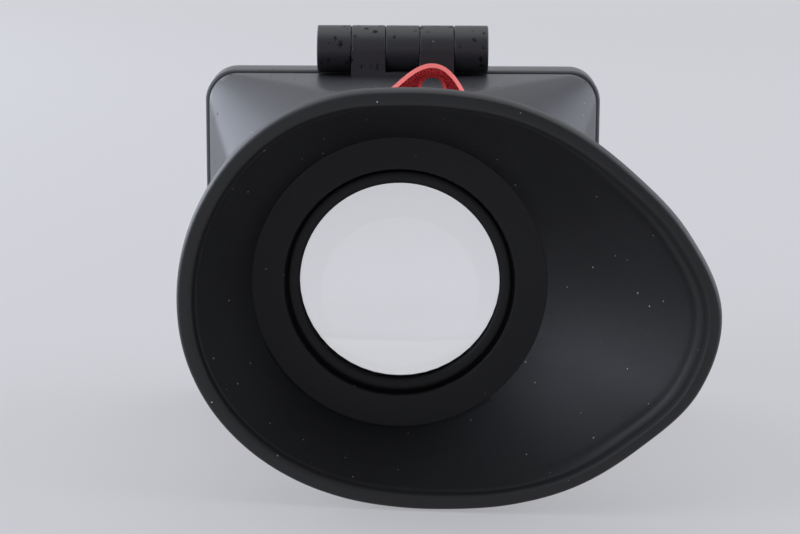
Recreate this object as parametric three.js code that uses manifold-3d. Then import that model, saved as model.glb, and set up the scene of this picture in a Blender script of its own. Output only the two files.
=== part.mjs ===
// Hinged viewfinder loupe for a camera's rear screen.
// Millimetres. +Z is up and +Y points from the eye to the camera. The pieces are laid out along the
// optical axis by their depth, which is the distance from the mounting face towards the eye, so y = -depth.
import * as THREE from 'three';
import { mergeVertices } from 'three/addons/utils/BufferGeometryUtils.js';
import Module from 'manifold-3d';

const wasm = await Module();
wasm.setup();

// Mounting frame and its foam pad, which go against the surround of the camera's screen
const WINDOW_WIDTH = 68;
const WINDOW_HEIGHT = 51;
const WINDOW_CORNER = 3;
const SIDE_BAR = 8;
const LEVEL_BAR = 7.55;
const FRAME_CORNER = 6.5;
const FRAME_THICKNESS = 9;
const PAD_THICKNESS = 1;
const PAD_INSET = 1.5;

// Hood: a rectangular mouth that tapers to a round neck with an end wall
const MOUTH_SIDE_STEP = 1.1;
const MOUTH_LEVEL_STEP = 0.5;
const MOUTH_LIP = 2;
const MOUTH_WINDOW_MARGIN = 1;
const FLANGE_THICKNESS = 3;
const HOOD_WALL = 2.2;
const NECK_STEP = 0.5;
const TAPER_LENGTH = 29;
const END_WALL = 2.5;
const END_WALL_LEDGE = 0.6;
const SEAL_THICKNESS = 0.7;
const SEAL_INSET = 1;

// Hinge on top: knuckles on one pin, frame and hood in turn
const KNUCKLE_RADIUS = 4.95;
const KNUCKLE_LENGTH = 7.18;
const KNUCKLE_COUNT = 5;
const HINGE_SETBACK = 2.4;
const HINGE_CLEARANCE = 0.4;
const LEAF_DROP = 4.4;
const PIN_RADIUS = 1.2;
const PIN_PLAY = 0.1;
const PIN_RECESS = 0.4;

// Magnets that hold the hood shut, in facing pockets
const MAGNET_RADIUS = 2.2;
const MAGNET_THICKNESS = 2;
const MAGNET_HEIGHT = 18;
const POCKET_PLAY = 0.1;

// Eyepiece barrel, screwed to the hood's end wall
const BARREL_WALL = 2.1;
const BARREL_FLANGE_REACH = 3.7;
const BARREL_FLANGE = 2.9;
const SNAP_HEIGHT = 0.4;
const SNAP_WIDTH = 1.2;
const SNAP_SETBACK = 3.5;
const SCREW_COUNT = 3;
const SCREW_SHANK = 1;
const SCREW_HEAD = 1.6;
const SCREW_HEAD_HEIGHT = 1.3;
const SCREW_REACH = 2;
const SCREW_PLAY = 0.1;
const DRIVE_RADIUS = 0.8;
const DRIVE_DEPTH = 0.7;

// Strap ring with its lanyard ear
const STRAP_RIM = 2.3;
const STRAP_THICKNESS = 2.5;
const STRAP_CHAMFER = 0.7;
const EAR_RISE = 6.6;
const EAR_HALF_ANGLE = 19;
const EAR_TURN = 10;
const EAR_HOLE_RADIUS = 2.1;
const EAR_HOLE_SETBACK = 4.8;

// Dioptre ring, and the helical grooves that drive the lens cell
const DIOPTRE_WALL = 4.6;
const DIOPTRE_LENGTH = 11;
const RIB_HEIGHT = 0.9;
const RIB_COUNT = 30;
const RIB_ANGLE_SHARES = [-0.25, -0.15, 0.15, 0.25];
const GROOVE_DEPTH = 2.1;
const CELL_TRAVEL = 2;
const DIOPTRE_SWING = 45;
const GUIDE_COUNT = 3;
const GUIDE_RADIUS = 1.2;
const GUIDE_SEAT = 1.5;
const GUIDE_SEAT_PLAY = 0.1;
const O_RING_SECTION = 0.45;
const O_RING_SETBACK = 1.3;
const O_RING_SEAT_PLAY = 0.1;

// Lens cell, its two lenses, the spacer between them and the bezel that clamps them
const LENS_RADIUS = 20.1;
const LENS_PLAY = 0.2;
const LENS_EDGE = 2;
const EYE_LENS_FRONT_CURVE = 125;
const EYE_LENS_BACK_CURVE = 52;
const REAR_LENS_EDGE = 1.6;
const REAR_LENS_FRONT_CURVE = 155;
const CELL_WALL = 4;
const CELL_TAIL = 3.2;
const CELL_NOSE = 1;
const CELL_STOP = 3.3;
const CELL_STOP_LEDGE = 1.3;
const SPACER_WALL = 1.1;
const NOSE_WALL = 1.1;
const BEZEL_LEDGE = 1.13;
const BEZEL_FLARE = 0.4;
const BEZEL_THICKNESS = 1;
const BEZEL_ROUNDING = 0.35;

// Eyecup ring, which turns on the barrel, and the rubber eyecup stretched over it
const CUP_RING_SETBACK = 1.1;
const CUP_RING_WALL = 1.6;
const CUP_RING_LENGTH = 8.5;
const CUP_RING_FACE = 1.2;
const CUP_RING_FACE_STEP = 0.6;
const BEZEL_GROOVE = 0.4;
const COLLAR_WALL = 2.6;
const CUP_WALL = 2;
const CUP_HEIGHT = 19.8;
const RIM_REACH = 58.25;
const RIM_RADIUS_SHARES = [
  1, 0.928, 0.842, 0.783, 0.736, 0.697, 0.679, 0.686, 0.695, 0.699, 0.699, 0.702,
  0.705, 0.707, 0.7, 0.686, 0.671, 0.661, 0.662, 0.685, 0.737, 0.806, 0.879, 0.972,
];
const WING_LEAN = 5.8;
const BEAD_WIDTH = 3.3;
const BEAD_DEPTH = 3.4;
const BEAD_STEP = 0.5;
const FLARE_POWER = 1.15;

// The gap between pieces that pass each other or lie side by side, and the overrun of every cut
const RUNNING_GAP = 0.3;
const OVERRUN = 1;

// Facets: steps round a full turn, and steps along curves
const ROUND_STEPS = 48;
const CUP_STEPS = 60;
const PIN_STEPS = 16;
const KNUCKLE_STEPS = 32;
const DRIVE_SIDES = 6;
const CORNER_STEPS = 5;
const SIDE_STEPS = 6;
const LENS_STEPS = 3;
const FLARE_STEPS = 4;
const BEAD_STEPS = 4;
const EAR_STEPS = 16;
const GROOVE_STEPS = 12;
const O_RING_SIDES = 6;

// Radii round the optical axis, from the lens outwards
const cellBore = LENS_RADIUS + LENS_PLAY;
const cellStopRadius = LENS_RADIUS - CELL_STOP_LEDGE;
const cellRadius = cellBore + CELL_WALL;
const bezelRadius = cellBore + NOSE_WALL;
const bezelAperture = LENS_RADIUS - BEZEL_LEDGE;
const barrelBore = cellRadius + RUNNING_GAP;
const barrelRadius = barrelBore + BARREL_WALL;
const barrelFlangeRadius = barrelRadius + BARREL_FLANGE_REACH;
const screwCircle = (barrelRadius + barrelFlangeRadius) / 2;
const strapBore = barrelFlangeRadius + RUNNING_GAP;
const strapRadius = strapBore + STRAP_RIM;
const neckRadius = strapRadius - NECK_STEP;
const endWallBore = barrelBore + END_WALL_LEDGE;
const dioptreBore = barrelRadius + RUNNING_GAP;
const dioptreRadius = dioptreBore + DIOPTRE_WALL;
const cupRingBore = barrelRadius + RUNNING_GAP;
const cupRingRadius = cupRingBore + CUP_RING_WALL;
const cupFaceBore = bezelRadius + BEZEL_GROOVE;
const cupFaceRadius = cupRingRadius - CUP_RING_FACE_STEP;
const bowlRadius = cupFaceRadius + RUNNING_GAP;
const collarBore = cupRingRadius + RUNNING_GAP;
const collarRadius = collarBore + COLLAR_WALL;

// The frame and the hood's mouth
const frameWidth = WINDOW_WIDTH + 2 * SIDE_BAR;
const frameHeight = WINDOW_HEIGHT + 2 * LEVEL_BAR;
const mouthWidth = frameWidth - 2 * MOUTH_SIDE_STEP;
const mouthHeight = frameHeight - 2 * MOUTH_LEVEL_STEP;
const mouthCorner = FRAME_CORNER - MOUTH_LEVEL_STEP;

// Depths along the optical axis, from the mounting face towards the eye
const padFront = PAD_THICKNESS;
const frameFront = padFront + FRAME_THICKNESS;
const sealBack = frameFront + RUNNING_GAP;
const mouthBack = sealBack + SEAL_THICKNESS;
const taperBack = mouthBack + MOUTH_LIP;
const flangeFront = mouthBack + FLANGE_THICKNESS;
const neckBack = taperBack + TAPER_LENGTH;
const endWallBack = neckBack + HOOD_WALL;
const endWallFront = endWallBack + END_WALL;
const screwTip = endWallFront + SCREW_REACH;
const barrelFlangeFront = endWallFront + BARREL_FLANGE;
const dioptreBack = barrelFlangeFront + RUNNING_GAP;
const dioptreFront = dioptreBack + DIOPTRE_LENGTH;
const cupRingBack = dioptreFront + CUP_RING_SETBACK;
const cupFaceBack = cupRingBack + CUP_RING_LENGTH;
const cupFaceFront = cupFaceBack + CUP_RING_FACE;
const barrelFront = cupFaceBack - RUNNING_GAP;
const guideDepth = (dioptreBack + dioptreFront) / 2;
const cellBack = guideDepth - CELL_TAIL;
const cellShoulder = cupFaceBack - CELL_TRAVEL - RUNNING_GAP;
const cellFront = cellShoulder + CELL_NOSE;
const rimDepth = cupFaceFront + CUP_HEIGHT;

// Hinge axis, which runs along X above the hood. The knuckles clear the mouth's top and the taper
// in front of it, whichever is higher under them.
const hingeDepth = frameFront + HINGE_SETBACK;
const taperShare = Math.max(0, hingeDepth + KNUCKLE_RADIUS - taperBack) / TAPER_LENGTH;
const taperTop = THREE.MathUtils.lerp(mouthHeight / 2, neckRadius, taperShare);
const hingeHeight = Math.max(mouthHeight / 2, taperTop) + HINGE_CLEARANCE + KNUCKLE_RADIUS;
const hingeEnd = KNUCKLE_COUNT * KNUCKLE_LENGTH / 2;

// Finishes
const BLACK_PLASTIC = { color: 0x34353a, roughness: 0.55, metalness: 0 };
const BARREL_PLASTIC = { color: 0x232427, roughness: 0.5, metalness: 0 };
const RUBBER = { color: 0x1e1e20, roughness: 0.7, metalness: 0 };
const FOAM = { color: 0x141415, roughness: 0.95, metalness: 0 };
const RED_ANODISED = { color: 0xb83430, roughness: 0.4, metalness: 0.7 };
const STEEL = { color: 0x9a9ca0, roughness: 0.35, metalness: 1 };
const MAGNET_NICKEL = { color: 0xb9bbbf, roughness: 0.25, metalness: 1 };
const BRASS = { color: 0xb08d4a, roughness: 0.35, metalness: 1 };
const GLASS = { color: 0xdfe8ea, roughness: 0.05, metalness: 0, transparent: true, opacity: 0.4 };

const loupe = new THREE.Group();

// A closed geometry as a solid, with its faces turned outwards whichever way its outline ran
function solidOf(geometry) {
  const bare = new THREE.BufferGeometry();
  bare.setAttribute('position', geometry.getAttribute('position').clone());
  if (geometry.index) bare.setIndex(geometry.index.clone());
  const merged = mergeVertices(bare);
  const corners = merged.index.array;
  const kept = [];
  for (let i = 0; i < corners.length; i += 3) {
    const [a, b, c] = corners.slice(i, i + 3);
    if (a !== b && b !== c && c !== a) kept.push(a, b, c);
  }
  const places = merged.getAttribute('position').array;
  if (signedVolume(places, kept) < 0) kept.reverse();
  const vertProperties = new Float32Array(places);
  const triVerts = new Uint32Array(kept);
  return new wasm.Manifold(new wasm.Mesh({ numProp: 3, vertProperties, triVerts }));
}

function signedVolume(places, corners) {
  const point = (index) => new THREE.Vector3().fromArray(places, 3 * index);
  let total = 0;
  for (let i = 0; i < corners.length; i += 3) {
    total += point(corners[i]).dot(point(corners[i + 1]).cross(point(corners[i + 2])));
  }
  return total;
}

// Adds a solid to the loupe as a named mesh
function addPiece(name, solid, finish) {
  const shape = solid.getMesh();
  const geometry = new THREE.BufferGeometry();
  geometry.setAttribute('position', new THREE.BufferAttribute(shape.vertProperties, shape.numProp));
  geometry.setIndex(new THREE.BufferAttribute(shape.triVerts, 1));
  geometry.computeVertexNormals();
  const mesh = new THREE.Mesh(geometry, new THREE.MeshStandardMaterial(finish));
  mesh.name = name;
  loupe.add(mesh);
}

// A closed profile of [radius, depth] points turned round the optical axis
function turned(profile, steps = ROUND_STEPS) {
  const outline = [...profile, profile[0]].map(([radius, depth]) => new THREE.Vector2(radius, -depth));
  return solidOf(new THREE.LatheGeometry(outline, steps));
}

// An outline in the XZ plane given thickness from one depth to another
function plate(shape, back, front) {
  const geometry = new THREE.ExtrudeGeometry(shape, {
    depth: front - back,
    bevelEnabled: false,
    curveSegments: CORNER_STEPS,
  });
  return solidOf(geometry.rotateX(Math.PI / 2).translate(0, -back, 0));
}

// A block given by its lowest and highest x, depth and z
function block([xLow, xHigh], [back, front], [zLow, zHigh]) {
  const geometry = new THREE.BoxGeometry(xHigh - xLow, front - back, zHigh - zLow);
  return solidOf(geometry.translate((xLow + xHigh) / 2, -(back + front) / 2, (zLow + zHigh) / 2));
}

// A rod along the hinge axis
function hingeRod(radius, xLow, xHigh, steps) {
  const geometry = new THREE.CylinderGeometry(radius, radius, xHigh - xLow, steps);
  geometry.rotateZ(Math.PI / 2);
  return solidOf(geometry.translate((xLow + xHigh) / 2, -hingeDepth, hingeHeight));
}

// A rod along the optical axis at a given place in the XZ plane
function axialRod(radius, [x, z], back, front, steps = PIN_STEPS) {
  const geometry = new THREE.CylinderGeometry(radius, radius, front - back, steps);
  return solidOf(geometry.translate(x, -(back + front) / 2, z));
}

// A rod that points out from the optical axis, at a turn about +Y
function radialRod(radius, inner, outer, depth, turn) {
  const geometry = new THREE.CylinderGeometry(radius, radius, outer - inner, PIN_STEPS);
  geometry.rotateZ(Math.PI / 2).translate((inner + outer) / 2, -depth, 0);
  return solidOf(geometry.rotateY(turn));
}

// A closed loft through rings that all have the same count of points
function lofted(rings) {
  const count = rings[0].length;
  const places = rings.flat().flatMap(([x, depth, z]) => [x, -depth, z]);
  const corners = [];
  for (let i = 0; i < rings.length; i += 1) {
    const next = (i + 1) % rings.length;
    for (let j = 0; j < count; j += 1) {
      const beside = (j + 1) % count;
      const [a, b, c, d] = [i * count + j, i * count + beside, next * count + beside, next * count + j];
      corners.push(a, b, c, a, c, d);
    }
  }
  const geometry = new THREE.BufferGeometry();
  geometry.setAttribute('position', new THREE.Float32BufferAttribute(places, 3));
  geometry.setIndex(corners);
  return solidOf(geometry);
}

// A rectangle with round corners, centred on the optical axis
function roundedRectangle(width, height, corner, outline = new THREE.Shape()) {
  const x = width / 2 - corner;
  const z = height / 2 - corner;
  outline.absarc(x, z, corner, 0, Math.PI / 2);
  outline.absarc(-x, z, corner, Math.PI / 2, Math.PI);
  outline.absarc(-x, -z, corner, Math.PI, 1.5 * Math.PI);
  outline.absarc(x, -z, corner, 1.5 * Math.PI, 2 * Math.PI);
  outline.closePath();
  return outline;
}

function windowedPlate(width, height, corner, windowMargin, back, front) {
  const shape = roundedRectangle(width, height, corner);
  const windowWidth = WINDOW_WIDTH + 2 * windowMargin;
  const windowHeight = WINDOW_HEIGHT + 2 * windowMargin;
  shape.holes.push(roundedRectangle(windowWidth, windowHeight, WINDOW_CORNER, new THREE.Path()));
  return plate(shape, back, front);
}

// Places of the four magnets: the middle of the frame's side bars, above and below the axis
const magnetX = (WINDOW_WIDTH / 2 + MOUTH_WINDOW_MARGIN + mouthWidth / 2) / 2;
const magnetPlaces = [
  ['upper_left', -magnetX, MAGNET_HEIGHT],
  ['upper_right', magnetX, MAGNET_HEIGHT],
  ['lower_left', -magnetX, -MAGNET_HEIGHT],
  ['lower_right', magnetX, -MAGNET_HEIGHT],
];
const pocketDepth = MAGNET_THICKNESS + 2 * POCKET_PLAY;
const pocketRadius = MAGNET_RADIUS + POCKET_PLAY;

// Lowest and highest x of a knuckle, counted from the left
function knuckleSpan(index) {
  const left = -hingeEnd + index * KNUCKLE_LENGTH;
  const leftGap = index === 0 ? 0 : RUNNING_GAP / 2;
  const rightGap = index === KNUCKLE_COUNT - 1 ? 0 : RUNNING_GAP / 2;
  return [left + leftGap, left + KNUCKLE_LENGTH - rightGap];
}

function pinBore() {
  return hingeRod(PIN_RADIUS + PIN_PLAY, -hingeEnd - OVERRUN, hingeEnd + OVERRUN, PIN_STEPS);
}

function addMountingPad() {
  const width = frameWidth - 2 * PAD_INSET;
  const height = frameHeight - 2 * PAD_INSET;
  const corner = FRAME_CORNER - PAD_INSET;
  addPiece('mounting_pad', windowedPlate(width, height, corner, 0, 0, padFront), FOAM);
}

// The frame carries every other knuckle, each on an arm that rises behind the hinge axis
function addMountFrame() {
  let frame = windowedPlate(frameWidth, frameHeight, FRAME_CORNER, 0, padFront, frameFront);
  for (let i = 0; i < KNUCKLE_COUNT; i += 2) {
    const [left, right] = knuckleSpan(i);
    const armDepths = [hingeDepth - KNUCKLE_RADIUS, frameFront];
    frame = frame.add(hingeRod(KNUCKLE_RADIUS, left, right, KNUCKLE_STEPS));
    frame = frame.add(block([left, right], armDepths, [frameHeight / 2 - LEVEL_BAR / 2, hingeHeight]));
  }
  frame = frame.subtract(pinBore());
  for (const [, x, z] of magnetPlaces) {
    const pocket = axialRod(pocketRadius, [x, z], frameFront - pocketDepth, frameFront + OVERRUN);
    frame = frame.subtract(pocket);
  }
  addPiece('mount_frame', frame, BLACK_PLASTIC);
}

function addHingePin() {
  const end = hingeEnd - PIN_RECESS;
  addPiece('hinge_pin', hingeRod(PIN_RADIUS, -end, end, PIN_STEPS), STEEL);
}

function addMagnets() {
  for (const [place, x, z] of magnetPlaces) {
    const frameBack = frameFront - MAGNET_THICKNESS - POCKET_PLAY;
    const hoodBack = mouthBack + POCKET_PLAY;
    const inFrame = axialRod(MAGNET_RADIUS, [x, z], frameBack, frameBack + MAGNET_THICKNESS);
    const inHood = axialRod(MAGNET_RADIUS, [x, z], hoodBack, hoodBack + MAGNET_THICKNESS);
    addPiece(`frame_magnet_${place}`, inFrame, MAGNET_NICKEL);
    addPiece(`hood_magnet_${place}`, inHood, MAGNET_NICKEL);
  }
}

// One ring of the hood. Round share 0 is the rectangle and 1 the circle; each corner of the
// rectangle owns 60 degrees of the circle, and each side the 30 degrees between two corners.
function hoodRing(width, height, corner, radius, roundShare, depth) {
  const cornerAngle = Math.PI / 3;
  const sideAngle = Math.PI / 6;
  const ring = [];
  for (let quarter = 0; quarter < 4; quarter += 1) {
    const middle = Math.PI / 4 + quarter * Math.PI / 2;
    const x = Math.sign(Math.cos(middle)) * (width / 2 - corner);
    const z = Math.sign(Math.sin(middle)) * (height / 2 - corner);
    const arc = (share) => {
      const angle = middle + (share - 0.5) * Math.PI / 2;
      return [x + corner * Math.cos(angle), z + corner * Math.sin(angle)];
    };
    const pushPoint = ([squareX, squareZ], angle) => ring.push([
      THREE.MathUtils.lerp(squareX, radius * Math.cos(angle), roundShare),
      depth,
      THREE.MathUtils.lerp(squareZ, radius * Math.sin(angle), roundShare),
    ]);
    for (let i = 0; i <= CORNER_STEPS; i += 1) {
      const share = i / CORNER_STEPS;
      pushPoint(arc(share), middle + (share - 0.5) * cornerAngle);
    }
    const [fromX, fromZ] = arc(1);
    const alongX = quarter % 2 === 0;
    for (let i = 1; i < SIDE_STEPS; i += 1) {
      const share = i / SIDE_STEPS;
      const across = THREE.MathUtils.lerp(1, -1, share);
      const side = alongX ? [across * fromX, fromZ] : [fromX, across * fromZ];
      pushPoint(side, middle + cornerAngle / 2 + share * sideAngle);
    }
  }
  return ring;
}

// The hood's rings run up the outside from mouth to neck and back down the inside
function hoodRings() {
  const corner = mouthCorner;
  const innerWidth = mouthWidth - 2 * HOOD_WALL;
  const innerHeight = mouthHeight - 2 * HOOD_WALL;
  const innerCorner = corner - HOOD_WALL;
  const openWidth = WINDOW_WIDTH + 2 * MOUTH_WINDOW_MARGIN;
  const openHeight = WINDOW_HEIGHT + 2 * MOUTH_WINDOW_MARGIN;
  const neckBore = neckRadius - HOOD_WALL;
  return [
    hoodRing(mouthWidth, mouthHeight, corner, 0, 0, mouthBack),
    hoodRing(mouthWidth, mouthHeight, corner, 0, 0, taperBack),
    hoodRing(mouthWidth, mouthHeight, corner, neckRadius, 1, neckBack),
    hoodRing(mouthWidth, mouthHeight, corner, neckRadius, 1, endWallFront),
    hoodRing(mouthWidth, mouthHeight, corner, endWallBore, 1, endWallFront),
    hoodRing(mouthWidth, mouthHeight, corner, endWallBore, 1, endWallBack),
    hoodRing(mouthWidth, mouthHeight, corner, neckBore, 1, endWallBack),
    hoodRing(mouthWidth, mouthHeight, corner, neckBore, 1, neckBack),
    hoodRing(innerWidth, innerHeight, innerCorner, 0, 0, flangeFront),
    hoodRing(openWidth, openHeight, WINDOW_CORNER, 0, 0, flangeFront),
    hoodRing(openWidth, openHeight, WINDOW_CORNER, 0, 0, mouthBack),
  ];
}

// Places of the barrel screws, evenly round the end wall
const screwPlaces = Array.from({ length: SCREW_COUNT }, (_, index) => {
  const angle = Math.PI / 2 + index * 2 * Math.PI / SCREW_COUNT;
  return [screwCircle * Math.cos(angle), screwCircle * Math.sin(angle)];
});

function screwHole([x, z]) {
  const front = screwTip + SCREW_PLAY;
  return axialRod(SCREW_SHANK + SCREW_PLAY, [x, z], endWallBack - OVERRUN, front);
}

// The hood with its hinge leaf: two flat-fronted knuckles that stand on one plate, which is hollowed
// round the frame's knuckle between them
function addHood() {
  let hood = lofted(hoodRings());
  const leafFront = hingeDepth + KNUCKLE_RADIUS;
  const leafBase = mouthHeight / 2 - HOOD_WALL;
  const leafTop = hingeHeight - LEAF_DROP;
  const leafSpan = [knuckleSpan(1)[0], knuckleSpan(KNUCKLE_COUNT - 2)[1]];
  const leaf = block(leafSpan, [mouthBack, leafFront], [leafBase, leafTop]);
  hood = hood.add(leaf.subtract(hingeRod(KNUCKLE_RADIUS + RUNNING_GAP, ...leafSpan, KNUCKLE_STEPS)));
  for (let i = 1; i < KNUCKLE_COUNT; i += 2) {
    const [left, right] = knuckleSpan(i);
    hood = hood.add(hingeRod(KNUCKLE_RADIUS, left, right, KNUCKLE_STEPS));
    hood = hood.add(block([left, right], [mouthBack, leafFront], [leafBase, hingeHeight]));
  }
  hood = hood.subtract(pinBore());
  for (const [, x, z] of magnetPlaces) {
    const pocket = axialRod(pocketRadius, [x, z], mouthBack - OVERRUN, mouthBack + pocketDepth);
    hood = hood.subtract(pocket);
  }
  for (const place of screwPlaces) hood = hood.subtract(screwHole(place));
  addPiece('hood_shell', hood, BLACK_PLASTIC);
}

function addMouthSeal() {
  const width = mouthWidth - 2 * SEAL_INSET;
  const height = mouthHeight - 2 * SEAL_INSET;
  const corner = mouthCorner - SEAL_INSET;
  const seal = windowedPlate(width, height, corner, MOUTH_WINDOW_MARGIN, sealBack, mouthBack);
  addPiece('mouth_seal', seal, FOAM);
}

// The barrel: a screwed flange, straight slots for the guide pins and a snap bead for the eyecup ring
function addBarrel() {
  const snapFront = barrelFront - SNAP_SETBACK;
  const snapBack = snapFront - SNAP_WIDTH;
  const seatFront = dioptreFront - O_RING_SETBACK + O_RING_SECTION + O_RING_SEAT_PLAY;
  const seatBack = dioptreFront - O_RING_SETBACK - O_RING_SECTION - O_RING_SEAT_PLAY;
  const seatRadius = dioptreBore - 2 * O_RING_SECTION - 2 * O_RING_SEAT_PLAY;
  let barrel = turned([
    [barrelBore, endWallFront],
    [barrelFlangeRadius, endWallFront],
    [barrelFlangeRadius, barrelFlangeFront],
    [barrelRadius, barrelFlangeFront],
    [barrelRadius, seatBack],
    [seatRadius, seatBack],
    [seatRadius, seatFront],
    [barrelRadius, seatFront],
    [barrelRadius, snapBack],
    [barrelRadius + SNAP_HEIGHT, (snapBack + snapFront) / 2],
    [barrelRadius, snapFront],
    [barrelRadius, barrelFront],
    [barrelBore, barrelFront],
  ]);
  for (const place of screwPlaces) barrel = barrel.subtract(screwHole(place));
  const halfWidth = GUIDE_RADIUS + RUNNING_GAP;
  const slotBack = guideDepth - CELL_TRAVEL - halfWidth;
  const slotFront = guideDepth + CELL_TRAVEL + halfWidth;
  for (let i = 0; i < GUIDE_COUNT; i += 1) {
    const radii = [barrelBore - OVERRUN, barrelRadius + OVERRUN];
    const slot = new THREE.BoxGeometry(radii[1] - radii[0], slotFront - slotBack, 2 * halfWidth);
    slot.translate((radii[0] + radii[1]) / 2, -(slotBack + slotFront) / 2, 0);
    barrel = barrel.subtract(solidOf(slot.rotateY(guideTurn(i))));
  }
  addPiece('eyepiece_barrel', barrel, BARREL_PLASTIC);
}

function addBarrelScrews() {
  screwPlaces.forEach(([x, z], index) => {
    const headBack = endWallBack - SCREW_HEAD_HEIGHT;
    const screw = axialRod(SCREW_HEAD, [x, z], headBack, endWallBack)
      .add(axialRod(SCREW_SHANK, [x, z], endWallBack - DRIVE_DEPTH, screwTip))
      .subtract(axialRod(DRIVE_RADIUS, [x, z], headBack - OVERRUN, headBack + DRIVE_DEPTH, DRIVE_SIDES));
    addPiece(`barrel_screw_${index + 1}`, screw, STEEL);
  });
}

// The strap ring: its edge swells into the ear as one raised-cosine wave
function addStrapRing() {
  const centre = THREE.MathUtils.degToRad(90 - EAR_TURN);
  const half = THREE.MathUtils.degToRad(EAR_HALF_ANGLE);
  const holeCircle = strapRadius + EAR_RISE - EAR_HOLE_SETBACK;
  const outline = [];
  for (let i = 0; i <= EAR_STEPS; i += 1) {
    const share = 2 * i / EAR_STEPS - 1;
    const rise = EAR_RISE * (1 + Math.cos(Math.PI * share)) / 2;
    outline.push([strapRadius + rise, centre + share * half]);
  }
  for (let i = 1; i < ROUND_STEPS; i += 1) {
    const share = i / ROUND_STEPS;
    outline.push([strapRadius, centre + half + share * (2 * Math.PI - 2 * half)]);
  }
  const shape = new THREE.Shape(outline.map(([r, angle]) => {
    return new THREE.Vector2(r * Math.cos(angle), r * Math.sin(angle));
  }));
  const bore = [];
  for (let i = 0; i < ROUND_STEPS; i += 1) {
    const angle = 2 * Math.PI * i / ROUND_STEPS;
    bore.push(new THREE.Vector2(strapBore * Math.cos(angle), strapBore * Math.sin(angle)));
  }
  shape.holes.push(new THREE.Path(bore));
  const eye = [];
  for (let i = 0; i < PIN_STEPS; i += 1) {
    const angle = 2 * Math.PI * i / PIN_STEPS;
    const x = holeCircle * Math.cos(centre) + EAR_HOLE_RADIUS * Math.cos(angle);
    const z = holeCircle * Math.sin(centre) + EAR_HOLE_RADIUS * Math.sin(angle);
    eye.push(new THREE.Vector2(x, z));
  }
  shape.holes.push(new THREE.Path(eye));
  const geometry = new THREE.ExtrudeGeometry(shape, {
    depth: STRAP_THICKNESS - 2 * STRAP_CHAMFER,
    bevelThickness: STRAP_CHAMFER,
    bevelSize: STRAP_CHAMFER,
    bevelOffset: -STRAP_CHAMFER,
    bevelSegments: 1,
  });
  const back = (endWallFront + dioptreBack - STRAP_THICKNESS) / 2 + STRAP_CHAMFER;
  addPiece('strap_ring', solidOf(geometry.rotateX(Math.PI / 2).translate(0, -back, 0)), RED_ANODISED);
}

// Turn about +Y of each guide pin
function guideTurn(index) {
  return index * 2 * Math.PI / GUIDE_COUNT;
}

// A helical groove in the dioptre ring's bore. Where the ring turns by an angle, the pin that stays
// at its own turn meets the stretch of groove that started that angle behind it.
function helicalGroove(turn) {
  const halfWidth = GUIDE_RADIUS + RUNNING_GAP;
  const swing = THREE.MathUtils.degToRad(DIOPTRE_SWING);
  const span = 2 * (swing + halfWidth / dioptreBore);
  const slope = CELL_TRAVEL / swing;
  const inner = dioptreBore - OVERRUN;
  const outer = dioptreBore + GROOVE_DEPTH;
  const geometry = new THREE.BoxGeometry(1, 1, 1, GROOVE_STEPS);
  const places = geometry.getAttribute('position');
  for (let i = 0; i < places.count; i += 1) {
    const angle = places.getX(i) * span;
    const radius = THREE.MathUtils.lerp(inner, outer, places.getZ(i) + 0.5);
    const depth = guideDepth - slope * angle - 2 * halfWidth * places.getY(i);
    places.setXYZ(i, radius * Math.cos(turn + angle), -depth, -radius * Math.sin(turn + angle));
  }
  return solidOf(geometry);
}

// The dioptre ring, with grip ribs outside and one helical groove for each guide pin inside
function addDioptreRing() {
  const outline = [];
  for (let i = 0; i < RIB_COUNT; i += 1) {
    RIB_ANGLE_SHARES.forEach((share, corner) => {
      const angle = (i + share) * 2 * Math.PI / RIB_COUNT;
      const onTop = corner === 1 || corner === 2;
      const radius = onTop ? dioptreRadius + RIB_HEIGHT : dioptreRadius;
      outline.push(new THREE.Vector2(radius * Math.cos(angle), radius * Math.sin(angle)));
    });
  }
  let ring = plate(new THREE.Shape(outline), dioptreBack, dioptreFront);
  ring = ring.subtract(turned([
    [0, dioptreBack - OVERRUN],
    [dioptreBore, dioptreBack - OVERRUN],
    [dioptreBore, dioptreFront + OVERRUN],
    [0, dioptreFront + OVERRUN],
  ]));
  for (let i = 0; i < GUIDE_COUNT; i += 1) ring = ring.subtract(helicalGroove(guideTurn(i)));
  addPiece('dioptre_ring', ring, BARREL_PLASTIC);
}

function addORing() {
  const depth = dioptreFront - O_RING_SETBACK;
  const centreRadius = dioptreBore - O_RING_SECTION - O_RING_SEAT_PLAY;
  const section = [];
  for (let i = 0; i < O_RING_SIDES; i += 1) {
    const angle = 2 * Math.PI * i / O_RING_SIDES;
    const radius = centreRadius + O_RING_SECTION * Math.cos(angle);
    section.push([radius, depth + O_RING_SECTION * Math.sin(angle)]);
  }
  addPiece('dioptre_o_ring', turned(section), RUBBER);
}

function addLensCell() {
  let cell = turned([
    [cellStopRadius, cellBack],
    [cellRadius, cellBack],
    [cellRadius, cellShoulder],
    [bezelRadius, cellShoulder],
    [bezelRadius, cellFront],
    [cellBore, cellFront],
    [cellBore, cellBack + CELL_STOP],
    [cellStopRadius, cellBack + CELL_STOP],
  ]);
  const seat = cellRadius - GUIDE_SEAT - GUIDE_SEAT_PLAY;
  for (let i = 0; i < GUIDE_COUNT; i += 1) {
    const radius = GUIDE_RADIUS + GUIDE_SEAT_PLAY;
    cell = cell.subtract(radialRod(radius, seat, cellRadius + OVERRUN, guideDepth, guideTurn(i)));
  }
  addPiece('lens_cell', cell, BARREL_PLASTIC);
}

function addGuidePins() {
  const inner = cellRadius - GUIDE_SEAT;
  const outer = dioptreBore + GROOVE_DEPTH - RUNNING_GAP;
  for (let i = 0; i < GUIDE_COUNT; i += 1) {
    addPiece(`guide_pin_${i + 1}`, radialRod(GUIDE_RADIUS, inner, outer, guideDepth, guideTurn(i)), BRASS);
  }
}

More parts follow.
